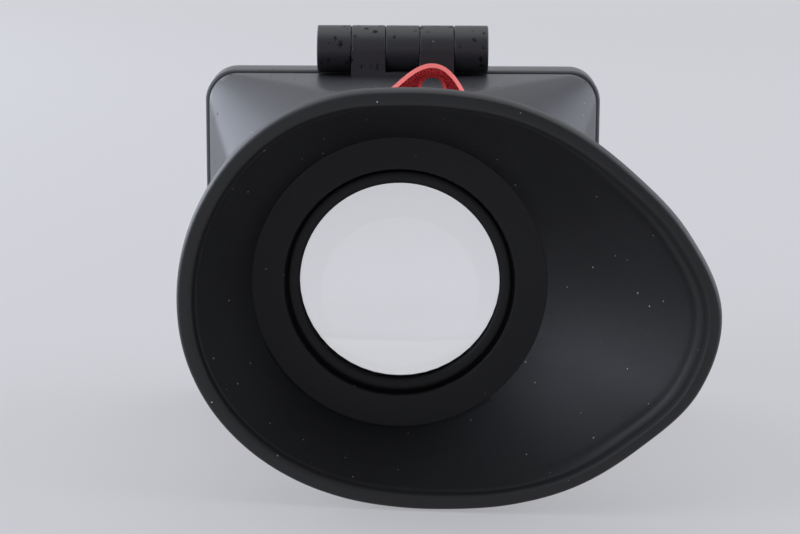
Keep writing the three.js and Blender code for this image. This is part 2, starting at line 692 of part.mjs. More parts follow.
// How far a spherical surface stands out at its centre over its edge, at a given radius from the axis
function sagitta(curve, edgeRadius, radius) {
  return Math.sqrt(curve ** 2 - radius ** 2) - Math.sqrt(curve ** 2 - edgeRadius ** 2);
}

// A lens from the depths of its edge and the curve radius of each face; no back curve is a flat back
function lens(edgeBack, edgeFront, frontCurve, backCurve) {
  const profile = [];
  for (let i = 0; i <= LENS_STEPS; i += 1) {
    const radius = LENS_RADIUS * i / LENS_STEPS;
    const dome = backCurve ? sagitta(backCurve, LENS_RADIUS, radius) : 0;
    profile.push([radius, edgeBack - dome]);
  }
  for (let i = LENS_STEPS; i >= 0; i -= 1) {
    const radius = LENS_RADIUS * i / LENS_STEPS;
    profile.push([radius, edgeFront + sagitta(frontCurve, LENS_RADIUS, radius)]);
  }
  return turned(profile);
}

// The stack in the cell's bore: rear lens on the stop, spacer, eye lens, and the bezel's skirt on top
function addLenses() {
  const seatPlay = LENS_PLAY / 2;
  const spacerBore = LENS_RADIUS - SPACER_WALL;
  const rearBack = cellBack + CELL_STOP + seatPlay;
  const rearFront = rearBack + REAR_LENS_EDGE;
  const eyeFront = cellFront - CELL_NOSE;
  const eyeBack = eyeFront - LENS_EDGE;
  const spacerBack = rearFront + sagitta(REAR_LENS_FRONT_CURVE, LENS_RADIUS, spacerBore) + seatPlay;
  const spacerFront = eyeBack - sagitta(EYE_LENS_BACK_CURVE, LENS_RADIUS, spacerBore) - seatPlay;
  const skirtBore = bezelAperture + BEZEL_FLARE;
  const skirtBack = eyeFront + sagitta(EYE_LENS_FRONT_CURVE, LENS_RADIUS, skirtBore) + seatPlay;
  addPiece('rear_lens', lens(rearBack, rearFront, REAR_LENS_FRONT_CURVE, 0), GLASS);
  addPiece('eye_lens', lens(eyeBack, eyeFront, EYE_LENS_FRONT_CURVE, EYE_LENS_BACK_CURVE), GLASS);
  const spacer = turned([
    [spacerBore, spacerBack],
    [LENS_RADIUS, spacerBack],
    [LENS_RADIUS, spacerFront],
    [spacerBore, spacerFront],
  ]);
  addPiece('lens_spacer', spacer, BARREL_PLASTIC);
  const bezelBack = cellFront + seatPlay;
  const bezelFront = bezelBack + BEZEL_THICKNESS;
  const skirtRadius = cellBore - RUNNING_GAP;
  const bezel = turned([
    [skirtBore, skirtBack],
    [skirtRadius, skirtBack],
    [skirtRadius, bezelBack],
    [bezelRadius, bezelBack],
    [bezelRadius, bezelFront - BEZEL_ROUNDING],
    [bezelRadius - BEZEL_ROUNDING, bezelFront],
    [bezelAperture + BEZEL_ROUNDING, bezelFront],
    [bezelAperture, bezelFront - BEZEL_ROUNDING],
  ]);
  addPiece('bezel_ring', bezel, BARREL_PLASTIC);
}

// The eyecup ring: a sleeve round the barrel's nose, with a groove over the snap bead and a front face
function addCupRing() {
  const snapFront = barrelFront - SNAP_SETBACK + RUNNING_GAP;
  const snapBack = barrelFront - SNAP_SETBACK - SNAP_WIDTH - RUNNING_GAP;
  const ring = turned([
    [cupRingBore, cupRingBack],
    [cupRingRadius, cupRingBack],
    [cupRingRadius, cupFaceBack],
    [cupFaceRadius, cupFaceBack],
    [cupFaceRadius, cupFaceFront],
    [cupFaceBore, cupFaceFront],
    [cupFaceBore, cupFaceBack],
    [cupRingBore, cupFaceBack],
    [cupRingBore, snapFront],
    [cupRingBore + SNAP_HEIGHT, (snapBack + snapFront) / 2],
    [cupRingBore, snapBack],
  ]);
  addPiece('eyecup_ring', ring, BARREL_PLASTIC);
}

// Radius of the eyecup's rim at an angle: a smooth closed curve through the evenly spaced shares
function rimRadius(angle) {
  const count = RIM_RADIUS_SHARES.length;
  const place = THREE.MathUtils.euclideanModulo(angle / (2 * Math.PI), 1) * count;
  const start = Math.floor(place);
  const t = place - start;
  const [a, b, c, d] = [-1, 0, 1, 2].map((step) => RIM_RADIUS_SHARES[(start + step + count) % count]);
  const slopeIn = (c - a) / 2;
  const slopeOut = (d - b) / 2;
  const share = b + slopeIn * t + (3 * (c - b) - 2 * slopeIn - slopeOut) * t ** 2
    + (2 * (b - c) + slopeIn + slopeOut) * t ** 3;
  return RIM_REACH * share;
}

// The eyecup's section at an angle: up the inside of the bowl, over the bead's flat front, round its
// outer edge and down the outside
function cupSection(angle) {
  const radius = rimRadius(angle);
  const rimFront = rimDepth + WING_LEAN * radius * Math.cos(angle) / RIM_REACH;
  const bowlBack = cupFaceFront;
  const bowlFront = rimFront - BEAD_STEP;
  const beadBack = rimFront - BEAD_DEPTH;
  const innerEdge = radius - BEAD_WIDTH;
  const flare = (from, to, fromDepth, toDepth, share) => [
    THREE.MathUtils.lerp(from, to, 1 - (1 - share) ** FLARE_POWER),
    THREE.MathUtils.lerp(fromDepth, toDepth, share),
  ];
  const section = [
    [collarBore, cupRingBack],
    [collarBore, cupFaceBack],
    [bowlRadius, cupFaceBack + RUNNING_GAP],
  ];
  for (let i = 0; i <= FLARE_STEPS; i += 1) {
    section.push(flare(bowlRadius, innerEdge, bowlBack, bowlFront, i / FLARE_STEPS));
  }
  section.push([innerEdge + BEAD_STEP, rimFront]);
  for (let i = 0; i <= BEAD_STEPS; i += 1) {
    const turn = Math.PI / 2 * (1 + i / BEAD_STEPS);
    const across = radius - BEAD_WIDTH / 2 - BEAD_WIDTH / 2 * Math.cos(turn);
    section.push([across, beadBack + BEAD_DEPTH * Math.sin(turn)]);
  }
  const outerBack = cupFaceFront - CUP_WALL;
  for (let i = FLARE_STEPS; i >= 0; i -= 1) {
    const outerEdge = innerEdge + CUP_WALL;
    section.push(flare(collarRadius, outerEdge, outerBack, beadBack, i / FLARE_STEPS));
  }
  section.push([collarRadius, cupRingBack]);
  return section;
}

function addEyecup() {
  const sections = [];
  for (let i = 0; i < CUP_STEPS; i += 1) {
    const angle = 2 * Math.PI * i / CUP_STEPS;
    sections.push(cupSection(angle).map(([radius, depth]) => {
      return [radius * Math.cos(angle), depth, radius * Math.sin(angle)];
    }));
  }
  addPiece('eyecup', lofted(sections), RUBBER);
}

addMountingPad();
addMountFrame();
addHingePin();
addMagnets();
addHood();
addMouthSeal();
addBarrel();
addBarrelScrews();
addStrapRing();
addDioptreRing();
addORing();
addLensCell();
addGuidePins();
addLenses();
addCupRing();
addEyecup();

// The loupe's box stands on the origin with the middle of its base
const box = new THREE.Box3().setFromObject(loupe);
const middle = box.getCenter(new THREE.Vector3());
loupe.position.set(-middle.x, -middle.y, -box.min.z);

export default loupe;
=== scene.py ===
import math

import bmesh
import bpy
import numpy as np
from mathutils import Matrix, Vector
from mathutils.geometry import tessellate_polygon


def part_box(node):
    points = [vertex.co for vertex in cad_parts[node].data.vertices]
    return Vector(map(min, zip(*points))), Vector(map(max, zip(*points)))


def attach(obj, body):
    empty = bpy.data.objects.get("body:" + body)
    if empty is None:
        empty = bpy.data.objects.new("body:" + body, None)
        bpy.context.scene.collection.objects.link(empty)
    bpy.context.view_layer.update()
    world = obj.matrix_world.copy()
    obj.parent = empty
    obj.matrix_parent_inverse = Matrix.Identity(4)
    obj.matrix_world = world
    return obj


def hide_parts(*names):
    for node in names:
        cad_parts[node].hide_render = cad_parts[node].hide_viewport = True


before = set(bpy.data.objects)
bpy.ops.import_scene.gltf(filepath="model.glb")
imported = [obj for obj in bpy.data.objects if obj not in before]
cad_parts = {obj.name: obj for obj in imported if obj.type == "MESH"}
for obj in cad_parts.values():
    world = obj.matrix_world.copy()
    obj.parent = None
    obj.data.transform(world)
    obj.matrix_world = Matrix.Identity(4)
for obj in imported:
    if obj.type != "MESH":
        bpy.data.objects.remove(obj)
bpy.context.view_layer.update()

MM = 0.001
FULL_TURN = 2 * math.pi
LENS_LOW, LENS_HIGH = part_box("bezel_ring")
AXIS_X = (LENS_LOW.x + LENS_HIGH.x) / 2
AXIS_Z = (LENS_LOW.z + LENS_HIGH.z) / 2
FACE_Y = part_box("mounting_pad")[1].y

# Camera, as the photograph was taken
IMAGE_WIDTH, IMAGE_HEIGHT = 800, 534
FOCAL_PIXELS = 2358
SENSOR_WIDTH = 36
SIGHTED_DEPTH = 68.5
SIGHTED_PIXEL = (399.8, 280.0)
CAMERA_RANGE = 450
CAMERA_TILT = math.radians(12)
CAMERA_SWING = math.radians(0.5)
CAMERA_ROLL = math.radians(0.17)

# Frame and hood: outlines are (width, height, corner radius), and depths run from back to front
WINDOW = (68, 51, 3)
FRAME = (84, 66.1, 6.5)
FRAME_DEPTHS, FRAME_ROUND = (1, 10), 0.8
PAD_DEPTHS, PAD_INSET, PAD_ROUND = (0, 1), 1.5, 0.25
SEAL_DEPTHS, SEAL_INSET, SEAL_ROUND = (10.3, 11), 1, 0.2
MOUTH = (81.8, 65.1, 6)
MOUTH_OPEN = (70, 53, 3)
MOUTH_INNER = (77.4, 60.7, 3.8)
MOUTH_BACK, TAPER_BACK, FLANGE_FRONT = 11, 13, 14
NECK_BACK, END_WALL_BACK, END_WALL_FRONT = 42, 44.2, 46.7
NECK_RADIUS, NECK_BORE, END_WALL_BORE = 32.5, 30.3, 25.2
MOUTH_EDGE, NECK_EDGE, EDGE_CUT = 0.5, 0.4, 0.12
MAGNET_ACROSS, MAGNET_UP = 37.95, 18
MAGNET_RADIUS, MAGNET_DEPTHS, MAGNET_ROUND = 2.2, (7.9, 9.9), 0.15
POCKET_RADIUS, POCKET_BACK, POCKET_ROUND = 2.3, 7.8, 0.1

# Hinge
HINGE_HEIGHT, HINGE_DEPTH, PIN_BORE = 37.9, 12.4, 1.3
KNUCKLE_RADIUS, KNUCKLE_LENGTH, KNUCKLE_COUNT, KNUCKLE_GAP = 4.95, 7.18, 5, 0.01
KNUCKLE_CLEARANCE, KNUCKLE_ROUND = 0.3, 0.35
ARM_DEPTHS, ARM_BASE = (7.5, 9.98), 29.3
LEAF_DEPTHS, LEAF_BASE, LEAF_TOP = (MOUTH_BACK + 0.02, 17.35), 30.35, 33.5

# Eyepiece
STRAP_BORE, STRAP_RADIUS, STRAP_DEPTHS = 30.7, 33, (47.05, 49.55)
STRAP_CHAMFER, STRAP_SOFT, STRAP_SHARP_DEGREES = 0.7, 0.09, 20
EAR_RISE, EAR_HALF_ANGLE, EAR_MIDDLE = 6.6, math.radians(19), math.radians(80)
EAR_HOLE_RADIUS, EAR_HOLE_CIRCLE = 2.1, 34.8
EAR_HOLE_PLACE = EAR_HOLE_CIRCLE * np.array([math.cos(EAR_MIDDLE), math.sin(EAR_MIDDLE)])
EAR_HOLE_SHINE, SLANT_LEAST, SLANT_MOST = 0.3, 0.2, 0.95
DIOPTRE_BORE, DIOPTRE_RADIUS, DIOPTRE_DEPTHS, DIOPTRE_CUT = 27, 31.6, (49.9, 60.9), 0.3
RIB_HEIGHT, RIB_COUNT, RIB_HALF, RIB_FLANK = 0.9, 30, 0.25, 0.09
RIM_ROUND, RIB_INSET, RIB_RUN, RIB_START, RIB_ROWS = 0.4, 0.7, 0.8, 2.2, 9
RIM_STEPS = np.array([0, 0.06, 0.2, 0.4, 0.7, 1.0, 1.2, 1.5])
LENS_RADIUS, LENS_SHARP_DEGREES = 20.1, 40
# Lenses: back and front of the edge, then the curves of the front and the back, 0 for flat
EYE_LENS = (66.2, 68.2, 125, 52)
REAR_LENS = (55.6, 57.2, 155, 0)
BEZEL_APERTURE, BEZEL_RADIUS, BEZEL_SKIRT, BEZEL_FLARE = 18.97, 21.4, 20, 0.4
BEZEL_BACK, BEZEL_SEAT, BEZEL_FRONT, BEZEL_LIP, LIP_POWER = 68.42, 69.3, 70.3, 0.7, 0.8
CUP_RING_BORE, CUP_RING_RADIUS, CUP_RING_BACK = 27, 28.6, 62
CUP_FACE_BORE, CUP_FACE_RADIUS, CUP_FACE_BACK, CUP_FACE_FRONT = 21.8, 28, 70.5, 71.7
CUP_RING_ROUNDS = [0.22, 0.22, 0.22, 0.05, 0.02, 0.45, 0.1, 0.22]

# Eyecup: rim radii at even steps round from the wing, as shares of the wing's reach
RIM_REACH, RIM_DEPTH, WING_LEAN = 58.17, 91.5, 5.8
RIM_SHARES = np.array([1, .928, .842, .783, .736, .697, .679, .686, .695, .699, .699, .702,
                       .705, .707, .7, .686, .671, .661, .662, .685, .737, .806, .879, .972])
WING_FROM, WING_RUN = 0.72, 0.2
BEAD_WIDTH, BEAD_DEPTH, BEAD_STEP, BEAD_EDGE, BEAD_PEAK = 3.3, 3.4, 0.5, 0.9, 1.1
EDGE_POWER, SHOULDER_DROP, SHOULDER_LEAST = 1.2, 0.6, 0.4
GROOVE_DEPTH, GROOVE_WIDTH, WING_GROOVE_WIDTH = 0.5, 0.3, 0.6
RIDGE_HEIGHT, RIDGE_PLACE, RIDGE_WIDTH = 0.25, 1.4, 0.55
FLARE_POWER, CUP_WALL, CUP_SEAM, CUP_SEAM_DEPTH, UNDER_DROP = 1.15, 2, 0.03, 0.2, 0.9
COLLAR_BORE, COLLAR_RADIUS, COLLAR_BEVEL, COLLAR_EDGE, COLLAR_GAP = 28.9, 31.5, 0.3, 0.4, 0.5
CUP_SHARP_DEGREES = 35
# Shares of the way along the bowl, which lie closer beside the groove
BOWL_SHARES = np.concatenate([np.linspace(0, 0.8, 18), np.linspace(0.82, 0.98, 14),
                              [0.985, 0.99, 0.995, 1]])
BEAD_START, CROWN_STEPS, BEAD_EDGE_STEPS, UNDER_STEPS = 0.06, 26, 14, 6
OUTSIDE_START, OUTSIDE_STEPS = 0.96, 28

# Points round a piece, and along its corners, curves and sides
ROUND_STEPS, CUP_RING_STEPS, CUP_STEPS, LENS_STEPS = 240, 300, 480, 200
ROD_STEPS, PIN_STEPS, DISC_STEPS, HOLE_STEPS, RIB_STEPS = 96, 64, 64, 48, 20
CORNER_STEPS, SIDE_STEPS, FILLET_STEPS, PLATE_STEPS = 16, 20, 3, 5
TAPER_STEPS, INNER_TAPER_STEPS, EAR_STEPS, PLAIN_STEPS = 25, 21, 121, 301
CAP_STEPS, LIP_STEPS = 28, 13
CORNER_ARC, SIDE_ARC = math.radians(60), math.radians(30)
# A round takes at most this share of a side, and its holding point stands off by this share of it
REACH_MOST, HOLD_SHARE = 0.4, 0.25
PLATE_HOLD, LEAST_CORNER = 1.4, 0.05
SHARP_DEGREES = 28
DOUBLES = 1e-7


def place(across, depth, up):
    """Points in metres from millimetres across, along and up from the optical axis."""
    x, y, z = np.broadcast_arrays(AXIS_X + MM * across, FACE_Y - MM * depth, AXIS_Z + MM * up)
    return np.stack([x, y, z], axis=-1).reshape(-1, 3)


def turns(count):
    """Evenly spaced angles round a full turn, as a column."""
    return (np.arange(count) * FULL_TURN / count)[:, None]


def smooth(share):
    """A soft step from 0 to 1, level at both ends: three squares less two cubes."""
    return share * share * (3 - 2 * share)


def grid(rows, columns, round_rows=True, round_columns=True):
    """Quads of a grid of points, row after row, that close on themselves in either direction."""
    i, j = np.meshgrid(np.arange(rows - (not round_rows)), np.arange(columns - (not round_columns)),
                       indexing="ij")
    below, beside = (i + 1) % rows, (j + 1) % columns
    corners = [i * columns + j, i * columns + beside, below * columns + beside, below * columns + j]
    return np.stack(corners, axis=-1).reshape(-1, 4)


def enclosed(points, faces):
    """Six times the signed volume of a closed shell, summed over the fan of each face."""
    total = 0.0
    for k in range(1, faces.shape[1] - 1):
        a, b, c = points[faces[:, 0]], points[faces[:, k]], points[faces[:, k + 1]]
        total += np.einsum("ij,ij->", a, np.cross(b, c))
    return total


def shell(points, faces):
    """A closed shell with its faces turned outwards."""
    centred = points - points.mean(axis=0)
    return points, faces if enclosed(centred, faces) > 0 else faces[:, ::-1]


def around(radius, depth, angle, closed=True):
    """A shell round the optical axis: radii and depths of a section at each angle. A section that
    isn't closed starts and ends on the axis."""
    points = place(radius * np.cos(angle), depth, radius * np.sin(angle))
    return shell(points, grid(len(angle), radius.shape[-1], round_columns=closed))


def shown(name, data):
    """An object in the scene."""
    made = bpy.data.objects.new(name, data)
    bpy.context.scene.collection.objects.link(made)
    return made


def shaded(mesh, sharp_degrees):
    """Smooth shading, but for corners over the angle."""
    mesh.shade_smooth()
    mesh.set_sharp_from_angle(angle=math.radians(sharp_degrees))


def built(name, points, faces, mend, sharp_degrees):
    """An object from points and faces, after a mend of its editable mesh."""
    mesh = bpy.data.meshes.new(name)
    mesh.from_pydata(points.tolist(), [], faces)
    edit = bmesh.new()
    edit.from_mesh(mesh)
    mend(edit)
    edit.to_mesh(mesh)
    edit.free()
    shaded(mesh, sharp_degrees)
    return shown(name, mesh)


def closed_poles(edit):
    """The points of each pole become one."""
    bmesh.ops.remove_doubles(edit, verts=edit.verts, dist=DOUBLES)


def turned_outwards(edit):
    """The faces all look outwards."""
    bmesh.ops.recalc_face_normals(edit, faces=edit.faces)
    if edit.calc_volume(signed=True) < 0:
        bmesh.ops.reverse_faces(edit, faces=edit.faces)


def new_mesh(name, one_shell, sharp_degrees=SHARP_DEGREES):
    """An object from a shell, whose doubles are merged, so that its poles close."""
    points, faces = one_shell
    return built(name, points, faces.tolist(), closed_poles, sharp_degrees)


def carve(piece, tool, operation):
    """The piece joined with or cut by the tool, which is used up."""
    cut = piece.modifiers.new("carve", "BOOLEAN")
    cut.operation = operation
    cut.solver = "MANIFOLD"
    cut.object = tool
    seen = piece.evaluated_get(bpy.context.evaluated_depsgraph_get())
    mesh = bpy.data.meshes.new_from_object(seen)
    piece.modifiers.clear()
    piece.data = mesh
    bpy.data.objects.remove(tool)
    shaded(mesh, SHARP_DEGREES)


def dress(piece, body, node, material):
    """The piece rides on its body, stands for its node and takes its finish."""
    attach(piece, body)
    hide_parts(node)
    finish(piece, material)


def finish(piece, material):
    """The piece takes its slot and its one material."""
    piece.data.materials.clear()
    piece.data.materials.append(material)


def fillet(corner, back, front, radius):
    """Points of a rounded corner in a section: a quarter circle from the side that lies back to the
    one that lies front along the outline; corner, back and front are (radius, depth)."""
    corner, back, front = map(np.asarray, (corner, back, front))
    to_back = (back - corner) / np.linalg.norm(back - corner)
    to_front = (front - corner) / np.linalg.norm(front - corner)
    turn = np.linspace(0, 1, FILLET_STEPS + 1)[:, None] * math.pi / 2
    return corner + radius * (to_back * (1 - np.sin(turn)) + to_front * (1 - np.cos(turn)))


def softened(section, radii):
    """A closed section with every corner rounded, by one radius or one for each corner, and a
    holding point beside each round, which keeps the sides flat up to it."""
    section = [tuple(point) for point in section]
    points = []
    for i, (corner, radius) in enumerate(zip(section, np.broadcast_to(radii, len(section)))):
        before, after = section[i - 1], section[(i + 1) % len(section)]
        reach = min(radius, *(REACH_MOST * math.dist(corner, other) for other in (before, after)))
        arc = fillet(corner, before, after, reach)
        hold = HOLD_SHARE * reach
        lead = np.asarray(before) - np.asarray(corner)
        tail = np.asarray(after) - np.asarray(corner)
        points.append(arc[0] + hold * lead / np.linalg.norm(lead))
        points.extend(arc)
        points.append(arc[-1] + hold * tail / np.linalg.norm(tail))
    return np.array(points)


def revolved(section, count=ROUND_STEPS):
    """A closed section of (radius, depth) points turned once round the optical axis."""
    section = np.asarray(section, float)
    return around(section[:, 0], section[:, 1], turns(count))


def cross_rod(radius, bore, left, right, soft=0.0, count=ROD_STEPS):
    """A rod or tube on the hinge axis: its section of (radius, place along X) turned round it."""
    section = [(bore, left), (radius, left), (radius, right), (bore, right)]
    section = softened(section, soft) if soft else np.array(section, float)
    angle = turns(count)
    r, x = section[:, 0], section[:, 1]
    points = place(x + 0 * angle, HINGE_DEPTH + r * np.cos(angle), HINGE_HEIGHT + r * np.sin(angle))
    return shell(points, grid(count, len(section), round_columns=bool(bore)))


def axial_disc(radius, across, up, back, front, soft):
    """A disc along the optical axis with soft edges, from pole to pole over its rim."""
    half = softened([(0, back), (radius, back), (radius, front), (0, front)], soft)
    rows = np.vstack([[(0, back)], half[half[:, 0] > radius / 2], [(0, front)]])
    angle = turns(DISC_STEPS)
    points = place(across + rows[:, 0] * np.cos(angle), rows[:, 1],
                   up + rows[:, 0] * np.sin(angle))
    return shell(points, grid(DISC_STEPS, len(rows), round_columns=False))


def block(across, depths, heights):
    """A plain box between two places across, in depth and in height."""
    x, d, z = np.meshgrid(across, depths, heights, indexing="ij")
    points = place(x.ravel(), d.ravel(), z.ravel())
    faces = np.array([[0, 1, 3, 2], [4, 6, 7, 5], [0, 4, 5, 1],
                      [2, 3, 7, 6], [0, 2, 6, 4], [1, 5, 7, 3]])
    return shell(points, faces)


def square_ring(width, height, corner, round_radius=0.0, share=0.0):
    """A closed ring between a rectangle with round corners (share 0) and a circle (share 1). Each
    corner's arc owns 60 degrees of the circle, and each side the 30 between two corners."""
    ring = []
    for quarter in range(4):
        middle = math.pi / 4 + quarter * math.pi / 2
        x = math.copysign(width / 2 - corner, math.cos(middle))
        z = math.copysign(height / 2 - corner, math.sin(middle))
        along = np.linspace(0, 1, CORNER_STEPS + 1)
        turn = middle + (along - 0.5) * math.pi / 2
        arc = np.stack([x + corner * np.cos(turn), z + corner * np.sin(turn)], axis=1)
        along_side = np.arange(1, SIDE_STEPS)[:, None] / SIDE_STEPS
        far = arc[-1] * ((-1, 1) if quarter % 2 == 0 else (1, -1))
        side = arc[-1] + along_side * (far - arc[-1])
        square = np.vstack([arc, side])
        angle = np.concatenate([middle + (along - 0.5) * CORNER_ARC,
                                middle + CORNER_ARC / 2 + along_side[:, 0] * SIDE_ARC])
        circle = round_radius * np.stack([np.cos(angle), np.sin(angle)], axis=1)
        ring.append(square + share * (circle - square))
    return np.vstack(ring)


def ring_loft(rings):
    """Rings of (across, up) points at their depths, joined in turn and closed into a wall."""
    outlines = np.array([outline for outline, depth in rings])
    depths = np.array([depth for outline, depth in rings])[:, None]
    points = place(outlines[:, :, 0], depths, outlines[:, :, 1])
    return shell(points, grid(len(rings), outlines.shape[1]))


def windowed_plate(outer, window, back, front, soft):
    """A plate with a window: rings round its wall section, whose corners are rounded by soft."""
    def at(reach, depth, outline):
        width, height, corner = outline
        corner = max(corner + reach, LEAST_CORNER)
        return square_ring(width + 2 * reach, height + 2 * reach, corner), depth

    turn = np.linspace(0, math.pi / 2, PLATE_STEPS)
    rounds = list(zip(soft * (1 - np.sin(turn)), soft * (1 - np.cos(turn))))
    hold = PLATE_HOLD * soft
    rings = [at(-hold, back, outer)]
    rings += [at(-a, back + b, outer) for a, b in rounds]
    rings += [at(-b, front - a, outer) for a, b in rounds]
    rings += [at(-hold, front, outer), at(hold, front, window)]
    rings += [at(a, front - b, window) for a, b in rounds]
    rings += [at(b, back + a, window) for a, b in rounds]
    rings += [at(hold, back, window)]
    return ring_loft(rings)


def inset(outline, distance):
    """An outline that lies inside another by a distance on all sides."""
    width, height, corner = outline
    return width - 2 * distance, height - 2 * distance, corner - distance


def knuckle_span(index):
    """Left and right ends of a knuckle, counted from the left."""
    left = (index - KNUCKLE_COUNT / 2) * KNUCKLE_LENGTH
    left_gap = 0 if index == 0 else KNUCKLE_GAP / 2
    right_gap = 0 if index == KNUCKLE_COUNT - 1 else KNUCKLE_GAP / 2
    return left + left_gap, left + KNUCKLE_LENGTH - right_gap


def carried_knuckle(index, depths, base):
    """A knuckle joined with the block that carries it."""
    left, right = knuckle_span(index)
    carrier = new_mesh("carrier", block((left, right), depths, (base, HINGE_HEIGHT)))
    tube = cross_rod(KNUCKLE_RADIUS, PIN_BORE, left, right, KNUCKLE_ROUND)
    carve(carrier, new_mesh("knuckle", tube), "UNION")
    return carrier


def pin_hole():
    """A rod that bores the knuckles for the pin, a millimetre longer than they are at each end."""
    reach = KNUCKLE_COUNT * KNUCKLE_LENGTH / 2 + 1
    return new_mesh("pin_hole", cross_rod(PIN_BORE, 0, -reach, reach, count=PIN_STEPS))


def mount_frame():
    """The frame with knuckles 1, 3 and 5 on arms behind the hinge axis, and four magnet pockets."""
    piece = new_mesh("mounting_frame", windowed_plate(FRAME, WINDOW, *FRAME_DEPTHS, FRAME_ROUND))
    for index in range(0, KNUCKLE_COUNT, 2):
        carve(piece, carried_knuckle(index, ARM_DEPTHS, ARM_BASE), "UNION")
    carve(piece, pin_hole(), "DIFFERENCE")
    past_front = FRAME_DEPTHS[1] + 1
    for across in (-MAGNET_ACROSS, MAGNET_ACROSS):
        for up in (-MAGNET_UP, MAGNET_UP):
            pocket = axial_disc(POCKET_RADIUS, across, up, POCKET_BACK, past_front, POCKET_ROUND)
            carve(piece, new_mesh("pocket", pocket), "DIFFERENCE")
    return piece


def hood():
    """The hood: rings from the rectangular mouth up the taper to the round neck, over the end wall
    and back down the inside. Its leaf carries knuckles 2 and 4 with flat fronts."""
    def mouth(distance, depth):
        return square_ring(*inset(MOUTH, distance)), depth

    def neck(radius, depth):
        return square_ring(*MOUTH, radius, 1), depth

    def taper(outline, radius, back, shares):
        return [(square_ring(*outline, radius, share), back + share * (NECK_BACK - back))
                for share in shares]

    rings = [mouth(MOUTH_EDGE, MOUTH_BACK), mouth(EDGE_CUT, MOUTH_BACK + EDGE_CUT)]
    rings += [mouth(0, MOUTH_BACK + MOUTH_EDGE), mouth(0, TAPER_BACK - MOUTH_EDGE)]
    rings += taper(MOUTH, NECK_RADIUS, TAPER_BACK, np.linspace(0, 1, TAPER_STEPS))
    rings += [neck(NECK_RADIUS, END_WALL_FRONT - NECK_EDGE)]
    rings += [neck(NECK_RADIUS - EDGE_CUT, END_WALL_FRONT - EDGE_CUT)]
    rings += [neck(NECK_RADIUS - NECK_EDGE, END_WALL_FRONT), neck(END_WALL_BORE, END_WALL_FRONT)]
    rings += [neck(END_WALL_BORE, END_WALL_BACK), neck(NECK_BORE, END_WALL_BACK)]
    rings += taper(MOUTH_INNER, NECK_BORE, FLANGE_FRONT, np.linspace(1, 0, INNER_TAPER_STEPS))
    rings += [(square_ring(*MOUTH_OPEN), FLANGE_FRONT), (square_ring(*MOUTH_OPEN), MOUTH_BACK)]
    piece = new_mesh("hood", ring_loft(rings))

    left, right = knuckle_span(1)[0], knuckle_span(3)[1]
    leaf = new_mesh("leaf", block((left, right), LEAF_DEPTHS, (LEAF_BASE, LEAF_TOP)))
    hollow = cross_rod(KNUCKLE_RADIUS + KNUCKLE_CLEARANCE, 0, left - 1, right + 1)
    carve(leaf, new_mesh("hollow", hollow), "DIFFERENCE")
    for index in range(1, KNUCKLE_COUNT, 2):
        carve(leaf, carried_knuckle(index, LEAF_DEPTHS, LEAF_BASE), "UNION")
    carve(piece, leaf, "UNION")
    carve(piece, pin_hole(), "DIFFERENCE")
    return piece


def strap_ring():
    """The strap ring: loops of its outline, bore and ear hole at the depths of its chamfered edge,
    with flat faces between them. The outline swells into the ear as one raised cosine."""
    def circle(radius, count):
        turn = turns(count)
        return radius * np.hstack([np.cos(turn), -np.sin(turn)])

    ear = np.linspace(-1, 1, EAR_STEPS)
    plain = np.linspace(EAR_MIDDLE + EAR_HALF_ANGLE, EAR_MIDDLE + FULL_TURN - EAR_HALF_ANGLE,
                        PLAIN_STEPS)[1:-1]
    angle = np.concatenate([EAR_MIDDLE + EAR_HALF_ANGLE * ear, plain])
    radius = np.concatenate([STRAP_RADIUS + EAR_RISE * (1 + np.cos(math.pi * ear)) / 2,
                             np.full(len(plain), STRAP_RADIUS)])
    outline = np.stack([radius * np.cos(angle), radius * np.sin(angle)], axis=1)
    bore = circle(STRAP_BORE, ROUND_STEPS)
    hole = circle(EAR_HOLE_RADIUS, HOLE_STEPS) + EAR_HOLE_PLACE

    back, front = STRAP_DEPTHS
    little = 0.3 * STRAP_SOFT
    levels = [(STRAP_CHAMFER + STRAP_SOFT, 0), (STRAP_CHAMFER - little, little),
              (little, STRAP_CHAMFER - little), (0, STRAP_CHAMFER + STRAP_SOFT)]
    levels += [(reach, front - back - rise) for reach, rise in reversed(levels)]
    points, faces, ends, start = [], [], [], 0
    for loop in (outline, bore, hole):
        along = np.roll(loop, -1, axis=0) - np.roll(loop, 1, axis=0)
        normal = np.stack([along[:, 1], -along[:, 0]], axis=1)
        normal /= np.linalg.norm(normal, axis=1, keepdims=True)
        for reach, rise in levels:
            ring = loop - reach * normal
            points.append(place(ring[:, 0], back + rise, ring[:, 1]))
        faces += (start + grid(len(levels), len(loop), round_rows=False)).tolist()
        ends.append((start, start + (len(levels) - 1) * len(loop), len(loop)))
        start += len(levels) * len(loop)
    points = np.vstack(points)
    for side in (0, 1):
        numbers = np.concatenate([np.arange(end[side], end[side] + end[2]) for end in ends])
        loops = [[Vector(p) for p in points[end[side]:end[side] + end[2]]] for end in ends]
        faces += numbers[np.array(tessellate_polygon(loops))].tolist()
    return built("strap_lug_ring", points, faces, turned_outwards, STRAP_SHARP_DEGREES)


